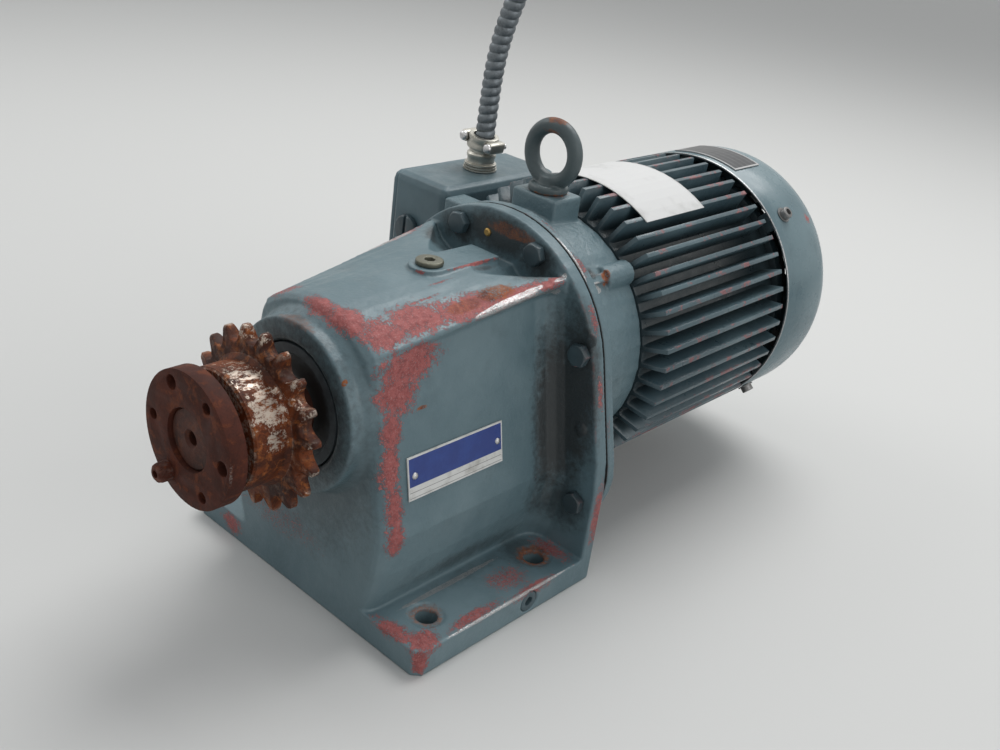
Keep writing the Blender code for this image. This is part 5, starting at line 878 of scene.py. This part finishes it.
def make_gear_case():
    """The case as one casting, its turned nose laid over it fine enough to look round."""
    case = copy_of("gear_housing", "gear_case")
    work = bmesh.new()
    work.from_mesh(case.data)
    nose = profile(0, (-89, 40.5), (-89, 49.7), (-88.2, 50.7), (-81.2, 51.4), (-77.8, 54), (-73.5, 56.3),
                   (-70, 56.3), (-70, 40.5))
    add_turned(work, nose, SHAFT, 160)
    boss = profile(0, (-1, 0), (-1, 5), (0, 5), (1.2, 3.6), (1.8, 0))
    for x, z in FLANGE_BOSSES:
        add_turned(work, boss, along((0, -1, 0), (x, 0.0672, z)), 24)
    work.to_mesh(case.data)
    work.free()
    cast(case, CAST_VOXEL, 2)
    dress(case, case_look, "case_paint", "gear_housing")
    level_pin = profile(0, (-1, 0), (-1, 2.6), (0.8, 2.6), (1.4, 1.8), (1.4, 0))
    dress(turned("level_pin", level_pin, along((0, -1, 0), LEVEL_PIN_AT), 24), brass_look, "case_paint")


def make_shield():
    """The motor adapter as one casting with soft edges."""
    shield = cast(copy_of("drive_end_shield", "motor_adapter"), CAST_VOXEL, 3)
    dress(shield, shield_look, "case_paint", "drive_end_shield")


def make_case_bolts():
    for number in range(1, 7):
        node = f"case_bolt_{number}"
        low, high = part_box(node)
        centre = ((low.x + high.x) / 2, low.y, (low.z + high.z) / 2)
        place = along((0, -1, 0), centre) @ Matrix.Rotation(number * 0.7, 4, "Z")
        work = bmesh.new()
        add_hex(work, BOLT_FLATS, -BOLT_HEAD, 0.0, place)
        add_turned(work, pin(-21, -5, 4), place, 24)
        bolt = new_object(f"case_bolt_head_{number}", work, 25)
        dress(bevel(bolt, 0.0003, 2, 25), bolt_look, "case_paint", node)


def make_eye_bolt():
    """The forged lifting eye: a round ring grown into its collar."""
    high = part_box("eye_bolt")[1]
    ring_radius, wire = 0.0175, 0.0050
    centre = Vector((0, EYE_Y, high.z - ring_radius - wire))
    work = bmesh.new()
    loops = []
    for x, z in circle(1.0, 96):
        outward = Vector((x, 0, z))
        loop = []
        for out, along_y in circle(wire, 28):
            loop.append(work.verts.new(centre + outward * (ring_radius + out) + Vector((0, along_y, 0))))
        loops.append(loop)
    loops_to_faces(work, loops)
    collar = profile(EYE_SEAT_Z, (-17, 0), (-17, 5), (0, 5), (0, 12.6), (0.6, 12.85), (3.6, 12.85), (5, 11))
    collar += profile(centre.z - ring_radius, (-2, 7.2), (3, 6), (3, 0))
    add_turned(work, collar, Matrix.Translation((0, EYE_Y, 0)), 64)
    eye = cast(new_object("lifting_eye", work), 0.0007, 5)
    dress(eye, eye_look, "case_paint", "eye_bolt")


def make_seal():
    ring = profile(0, (-87.4, 36), (-79, 36), (-79, 17.8), (-87.2, 17.8), (-86.6, 18.4), (-85.6, 22.2),
                   (-85.6, 29.2), (-87.2, 30.6))
    dress(turned("shaft_seal", ring, SHAFT, 128), seal_look, "rubber", "output_seal")


# Output side

TEETH = 19
PITCH_RADIUS = 0.015875 / (2 * math.sin(math.pi / TEETH))
ROLLER_SEAT = 0.00518
TIP_RADIUS = 0.0523
TOOTH_PHASE = math.radians(8.0)
PLATE_FRONT, PLATE_REAR = -0.1165, -0.1078
HUB_FRONT = -0.1380
THINNED_FROM = 0.0445
TOOTH_ROUND = 0.0007


def tooth_loop():
    """(angle, radius) points of the sprocket's outline, from seat to seat."""
    half_pitch = math.pi / TEETH
    swing = [math.radians(a) for a in (0, 10, 20, 30, 40, 50, 60, 72)]
    half = []
    for a in swing:
        x, z = PITCH_RADIUS - ROLLER_SEAT * math.cos(a), ROLLER_SEAT * math.sin(a)
        half.append((math.atan2(z, x), math.hypot(x, z)))
    start_angle, start_radius = half[-1]
    tip_angle = half_pitch - 0.019
    for share in (0.33, 0.66, 1.0):
        bow = math.sin(math.pi / 2 * share)
        half.append((start_angle + (tip_angle - start_angle) * share,
                     start_radius + (TIP_RADIUS - start_radius) * bow))
    points = []
    for tooth in range(TEETH):
        seat = TOOTH_PHASE + (2 * tooth + 1) * half_pitch
        points += [(seat - angle, radius) for angle, radius in reversed(half[1:])]
        points += [(seat + angle, radius) for angle, radius in half]
    return points


def make_sprocket():
    """The tooth plate, each tooth thinned towards its tip, and the hub with its weld bead."""
    points = tooth_loop()
    middle = (PLATE_FRONT + PLATE_REAR) / 2
    half = (PLATE_REAR - PLATE_FRONT) / 2

    def thin(radius):
        share = max(0.0, (radius - THINNED_FROM) / (TIP_RADIUS - THINNED_FROM))
        return half * (1 - 0.42 * share)

    # How far out and how far from the middle each loop lies, from the bore to the tooth tips
    rows = (
        (lambda r: 0.0262, lambda r: half),
        (lambda r: 0.0415, lambda r: half),
        (lambda r: r - TOOTH_ROUND, thin),
        (lambda r: r, lambda r: thin(r) - TOOTH_ROUND),
    )
    work = bmesh.new()
    loops = []
    for side, order in ((-1, rows), (1, rows[::-1])):
        for reach_of, offset_of in order:
            loop = []
            for angle, radius in points:
                x, z = reach_of(radius) * math.cos(angle), SHAFT_Z + reach_of(radius) * math.sin(angle)
                loop.append(work.verts.new(Vector((x, middle + side * offset_of(radius), z))))
            loops.append(loop)
    loops_to_faces(work, loops)
    tooth_plate = new_object("sprocket_plate", work, 50)
    dress(tooth_plate, sprocket_look, "rusty_steel", "sprocket", body=OUTPUT_BODY)
    hub = profile(HUB_FRONT, (0, 26.3), (0, 33.4), (1.2, 34.6))
    hub += profile(PLATE_FRONT, (-3, 34.6), (-2.2, 35.4), (-0.8, 36.8), (0.4, 37.4), (2, 35.6), (2, 26.3))
    dress(turned("sprocket_hub", hub, SHAFT, 128, 40), sprocket_look, "rusty_steel", body=OUTPUT_BODY)


BUSHING_FACE, BARREL_REAR = -0.1554, -0.1122
BUSHING_RADIUS, BUSHING_BORE, BUSHING_FLANGE = 0.0381, 0.0176, 0.0103
HOLE_CIRCLE, SCREW_HOLE, PLAIN_HOLE = 0.0309, 0.0043, 0.0033
SCREW_ANGLE = math.radians(-123)


def make_bushing():
    """The bushing's drilled flange, its barrel, and the screw left in one hole."""
    holes = [circle(BUSHING_BORE, 72)]
    for k in range(3):
        angle = SCREW_ANGLE + 2 * math.pi * k / 3
        x, y = HOLE_CIRCLE * math.cos(angle), HOLE_CIRCLE * math.sin(angle)
        holes += [circle(SCREW_HOLE, 28, (x, y)), circle(PLAIN_HOLE, 24, (-x, -y))]
    rim = circle(BUSHING_RADIUS, 128)
    flange = plate("bushing_flange", rim, holes, BUSHING_FACE, BUSHING_FACE + BUSHING_FLANGE)
    bevel(flange, 0.0006, 2, 40)
    dress(flange, bushing_look, "brown_steel", "taper_bushing", body=OUTPUT_BODY)
    barrel = profile(BUSHING_FACE, (10, 17.7), (10, 25.5)) + profile(BARREL_REAR, (0, 23.8), (0, 17.7))
    dress(turned("bushing_barrel", barrel, SHAFT, 96), bushing_look, "brown_steel", body=OUTPUT_BODY)
    low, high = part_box("bushing_screw")
    place = along((0, -1, 0), ((low.x + high.x) / 2, 0, (low.z + high.z) / 2))
    face = -BUSHING_FACE
    head = profile(face, (0.1, 0), (0.1, 5.6), (5, 5.6), (7, 5), (8, 3.6), (8, 2.2), (5, 2), (5, 0))
    shank = profile(-high.y, (0, 0), (0, 3)) + profile(face, (0.2, 3), (0.2, 0))
    screw = turned("flange_screw", head, place, 48, also=((shank, 24),))
    dress(screw, bushing_look, "brown_steel", "bushing_screw", body=OUTPUT_BODY)


# Motor side


COVER_RADIUS = 0.098
COVER_WALL = 0.0015
COVER_FRONT, COVER_STRAIGHT, COVER_REAR = 0.2855, 0.332, 0.362
COVER_FACE_RADIUS = 0.066
INLET_RINGS = ((0.022, 0.036, 6), (0.042, 0.057, 9))
INLET_FILL = 0.72


def cover_curve(radius, inset):
    """The rounded rear edge of the cover as (height, radius) points."""
    depth = COVER_REAR - COVER_STRAIGHT - inset
    points = []
    for step in range(0, 17):
        a = math.pi / 2 * step / 16
        reach = COVER_FACE_RADIUS + (radius - COVER_FACE_RADIUS) * math.cos(a)
        points.append((COVER_STRAIGHT + depth * math.sin(a), reach))
    return points


def slot_outline(low, high, middle, half):
    """A curved slot with rounded ends."""
    wide = (high - low) / 2
    mid = (high + low) / 2
    end = half - wide / mid
    count = 14
    points = []
    for side, radius in ((1, high), (-1, low)):
        for i in range(count + 1):
            a = middle + side * end * (2 * i / count - 1)
            points.append((radius * math.cos(a), radius * math.sin(a)))
        a = middle + side * end
        for i in range(1, 6):
            b = a + (0 if side > 0 else math.pi) + math.pi * i / 6
            points.append((mid * math.cos(a) + wide * math.cos(b), mid * math.sin(a) + wide * math.sin(b)))
    return points


def make_fan_cover():
    """The pressed cover: a turned skirt with a bright rolled rim, and the slotted rear face."""
    inner = COVER_RADIUS - COVER_WALL
    skirt = [(COVER_FRONT + 0.0004, inner), (COVER_FRONT, inner + 0.0005),
             (COVER_FRONT, COVER_RADIUS - 0.0003), (COVER_FRONT + 0.0004, COVER_RADIUS)]
    skirt += cover_curve(COVER_RADIUS, 0)
    skirt += reversed(cover_curve(inner, COVER_WALL))
    dress(turned("fan_cover_skirt", skirt, SHAFT, 192, 50), cover_look, "motor_paint", "fan_cover")
    slots = []
    for low, high, count in INLET_RINGS:
        half = math.pi / count * INLET_FILL
        slots += [slot_outline(low, high, 2 * math.pi * (k + 0.5) / count, half) for k in range(count)]
    rim = circle(COVER_FACE_RADIUS + 0.0004, 192)
    face = plate("fan_cover_face", rim, slots, COVER_REAR - COVER_WALL, COVER_REAR)
    dress(bevel(face, 0.0004, 2, 40), cover_look, "motor_paint")
    washer = profile(0, (98.2, 0), (98.2, 5.7), (98.5, 5.9), (98.9, 5.9), (99.2, 5.7), (99.2, 0))
    head = profile(0, (99.1, 0), (99.1, 4.4), (102.6, 4.5), (103.3, 4.2), (103.6, 3.6), (103.6, 2.4),
                   (101.2, 2.2), (101.2, 0))
    shank = pin(86.5, 98.4, 2.5)
    for number in range(1, 5):
        node = f"fan_cover_screw_{number}"
        low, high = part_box(node)
        middle = (low + high) / 2
        outward = Vector((middle.x, 0, middle.z - SHAFT_Z)).normalized()
        place = along(outward, (0, middle.y, SHAFT_Z))
        screw = turned(f"cover_screw_{number}", washer, place, 40, also=((head, 40), (shank, 20)))
        dress(screw, dark_steel_look, "dark_steel", node)


# Terminal box, plugs and plates


def make_terminal_box():
    """The box as one casting, and the four screws of its lid."""
    shell = cast(copy_of("terminal_box", "terminal_box_shell"), CAST_VOXEL, 2)
    dress(shell, box_look, "case_paint", "terminal_box")
    low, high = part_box("terminal_box_cover")
    inset = 0.009
    head = profile(0, (-1, 0), (-1, 4.2), (0.6, 4.2), (1.8, 3.4), (2.4, 2), (2.4, 0))
    corners = [(y, z) for y in (low.y + inset, high.y - inset) for z in (low.z + inset, high.z - inset)]
    for number, (y, z) in enumerate(corners, 1):
        screw = turned(f"lid_screw_{number}", head, along((-1, 0, 0), (low.x, y, z)), 32)
        dress(screw, dark_steel_look, "dark_steel")


def make_rounded_copies():
    """Pieces that keep their CAD shape, with their sharp edges rounded."""
    for node, name, width, segments, angle, smooth, look, slot in (
        ("stator_frame", "ribbed_frame", 0.0006, 2, 28, 45, motor_look, "motor_paint"),
        ("rear_end_shield", "motor_rear_shield", 0.0006, 2, 30, 35, motor_look, "motor_paint"),
        ("terminal_box_cover", "terminal_box_lid", 0.0011, 3, 30, 35, box_look, "case_paint"),
        ("blanking_plug", "entry_plug", 0.0003, 2, 30, 35, bolt_look, "dark_steel"),
        ("vent_plug", "vent_plug_head", 0.0003, 2, 30, 35, vent_look, "dark_steel"),
        ("drain_plug", "drain_plug_head", 0.0003, 2, 30, 35, bolt_look, "case_paint"),
    ):
        dress(bevel(copy_of(node, name), width, segments, angle, smooth), look, slot, node)


WALL_SLOPE = 0.2
PRINTED = {"oil_plate": oil_plate_look, "motor_nameplate": name_plate_look, "paper_label": label_look}


def make_plates():
    """The plates keep their CAD shape, and get their print, rims and rivets."""
    low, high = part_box("oil_plate")
    middle = (low + high) / 2
    lean = math.atan(WALL_SLOPE)
    outward = Vector((math.cos(lean), 0, math.sin(lean)))
    head = profile(0, (-0.6, 0), (-0.6, 2.1), (0.1, 2.1), (0.8, 1.5), (1, 0))
    rise, proud = 0.0010, 0.0004
    for number, y in enumerate((low.y + 0.0052, high.y - 0.0040), 1):
        at = Vector((middle.x - WALL_SLOPE * rise, y, middle.z + rise)) + outward * proud
        dress(turned(f"plate_rivet_{number}", head, along(outward, at), 24, 60), steel_look, "bright_steel")
    for node, look in PRINTED.items():
        coat(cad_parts[node], look())


def finish_hidden_nodes():
    """Materials for the CAD nodes that stay as they are: steel, unless a word in the name says more."""
    looks = {
        "output_shaft": shaft_look, "gasket": gasket_look, "core": lamination_look, "seal": rubber_look,
        "winding": copper_look, "fan": plastic_look, "block": plastic_look, "key": dark_steel_look,
    }
    for node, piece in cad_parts.items():
        if piece.hide_render or node in PRINTED:
            continue
        found = [look for word, look in looks.items() if word in node]
        coat(piece, found[0] if found else steel_look)


# Setting

TABLE_REACH = 14.0
TABLE_COLOUR = (0.57, 0.57, 0.555)
AMBIENT_COLOUR = (0.93, 0.96, 1.0)
BACKDROP_COLOUR = (0.80, 0.80, 0.78)
LAMPS_AIM = (0.0, 0.1, 0.12)
# Name, place, size and power
LAMPS = (
    ("top_light", (-0.2, 1.0, 1.8), 1.3, 28.0),
    ("left_light", (-1.3, -0.3, 1.2), 0.9, 5.0),
    ("right_light", (1.7, 0.1, 0.9), 1.0, 7.0),
)


def make_setting():
    """A pale table top and soft light from above and from both sides."""
    scene = bpy.context.scene
    scene.view_settings.view_transform = "Standard"
    mesh = bpy.data.meshes.new("table")
    corners = [(x * TABLE_REACH, y * TABLE_REACH, 0) for x, y in ((-1, -1), (1, -1), (1, 1), (-1, 1))]
    mesh.from_pydata(corners, [], [(0, 1, 2, 3)])
    table = placed("table", mesh)
    table.data.materials.append(Look("table_top", 0.6).done(TABLE_COLOUR))

    world = bpy.data.worlds.new("room")
    scene.world = world
    world.use_nodes = True
    nodes, links = world.node_tree.nodes, world.node_tree.links
    ambient = nodes["Background"]
    shown = nodes.new("ShaderNodeBackground")
    for light, colour, strength in ((ambient, AMBIENT_COLOUR, 0.45), (shown, BACKDROP_COLOUR, 1.0)):
        light.inputs["Color"].default_value = (*colour, 1)
        light.inputs["Strength"].default_value = strength
    path = nodes.new("ShaderNodeLightPath")
    seen = path.outputs["Is Camera Ray"]
    for ray in ("Is Glossy Ray", "Is Transmission Ray"):
        most = nodes.new("ShaderNodeMath")
        most.operation = "MAXIMUM"
        links.new(seen, most.inputs[0])
        links.new(path.outputs[ray], most.inputs[1])
        seen = most.outputs[0]
    choose = nodes.new("ShaderNodeMixShader")
    for number, output in enumerate((seen, ambient.outputs[0], shown.outputs[0])):
        links.new(output, choose.inputs[number])
    links.new(choose.outputs[0], nodes["World Output"].inputs["Surface"])

    for name, at, size, power in LAMPS:
        data = bpy.data.lights.new(name, "AREA")
        data.size = size
        data.energy = power
        lamp = placed(name, data)
        lamp.location = at
        lamp.rotation_euler = (Vector(LAMPS_AIM) - Vector(at)).to_track_quat("-Z", "Y").to_euler()


make_camera()
conduit, conduit_line, conduit_length = make_conduit()
end_pieces = make_end_connector()
make_cable_connector()
make_gear_case()
make_shield()
make_case_bolts()
make_eye_bolt()
make_seal()
make_sprocket()
make_bushing()
make_fan_cover()
make_terminal_box()
make_rounded_copies()
make_plates()
finish_hidden_nodes()
make_setting()
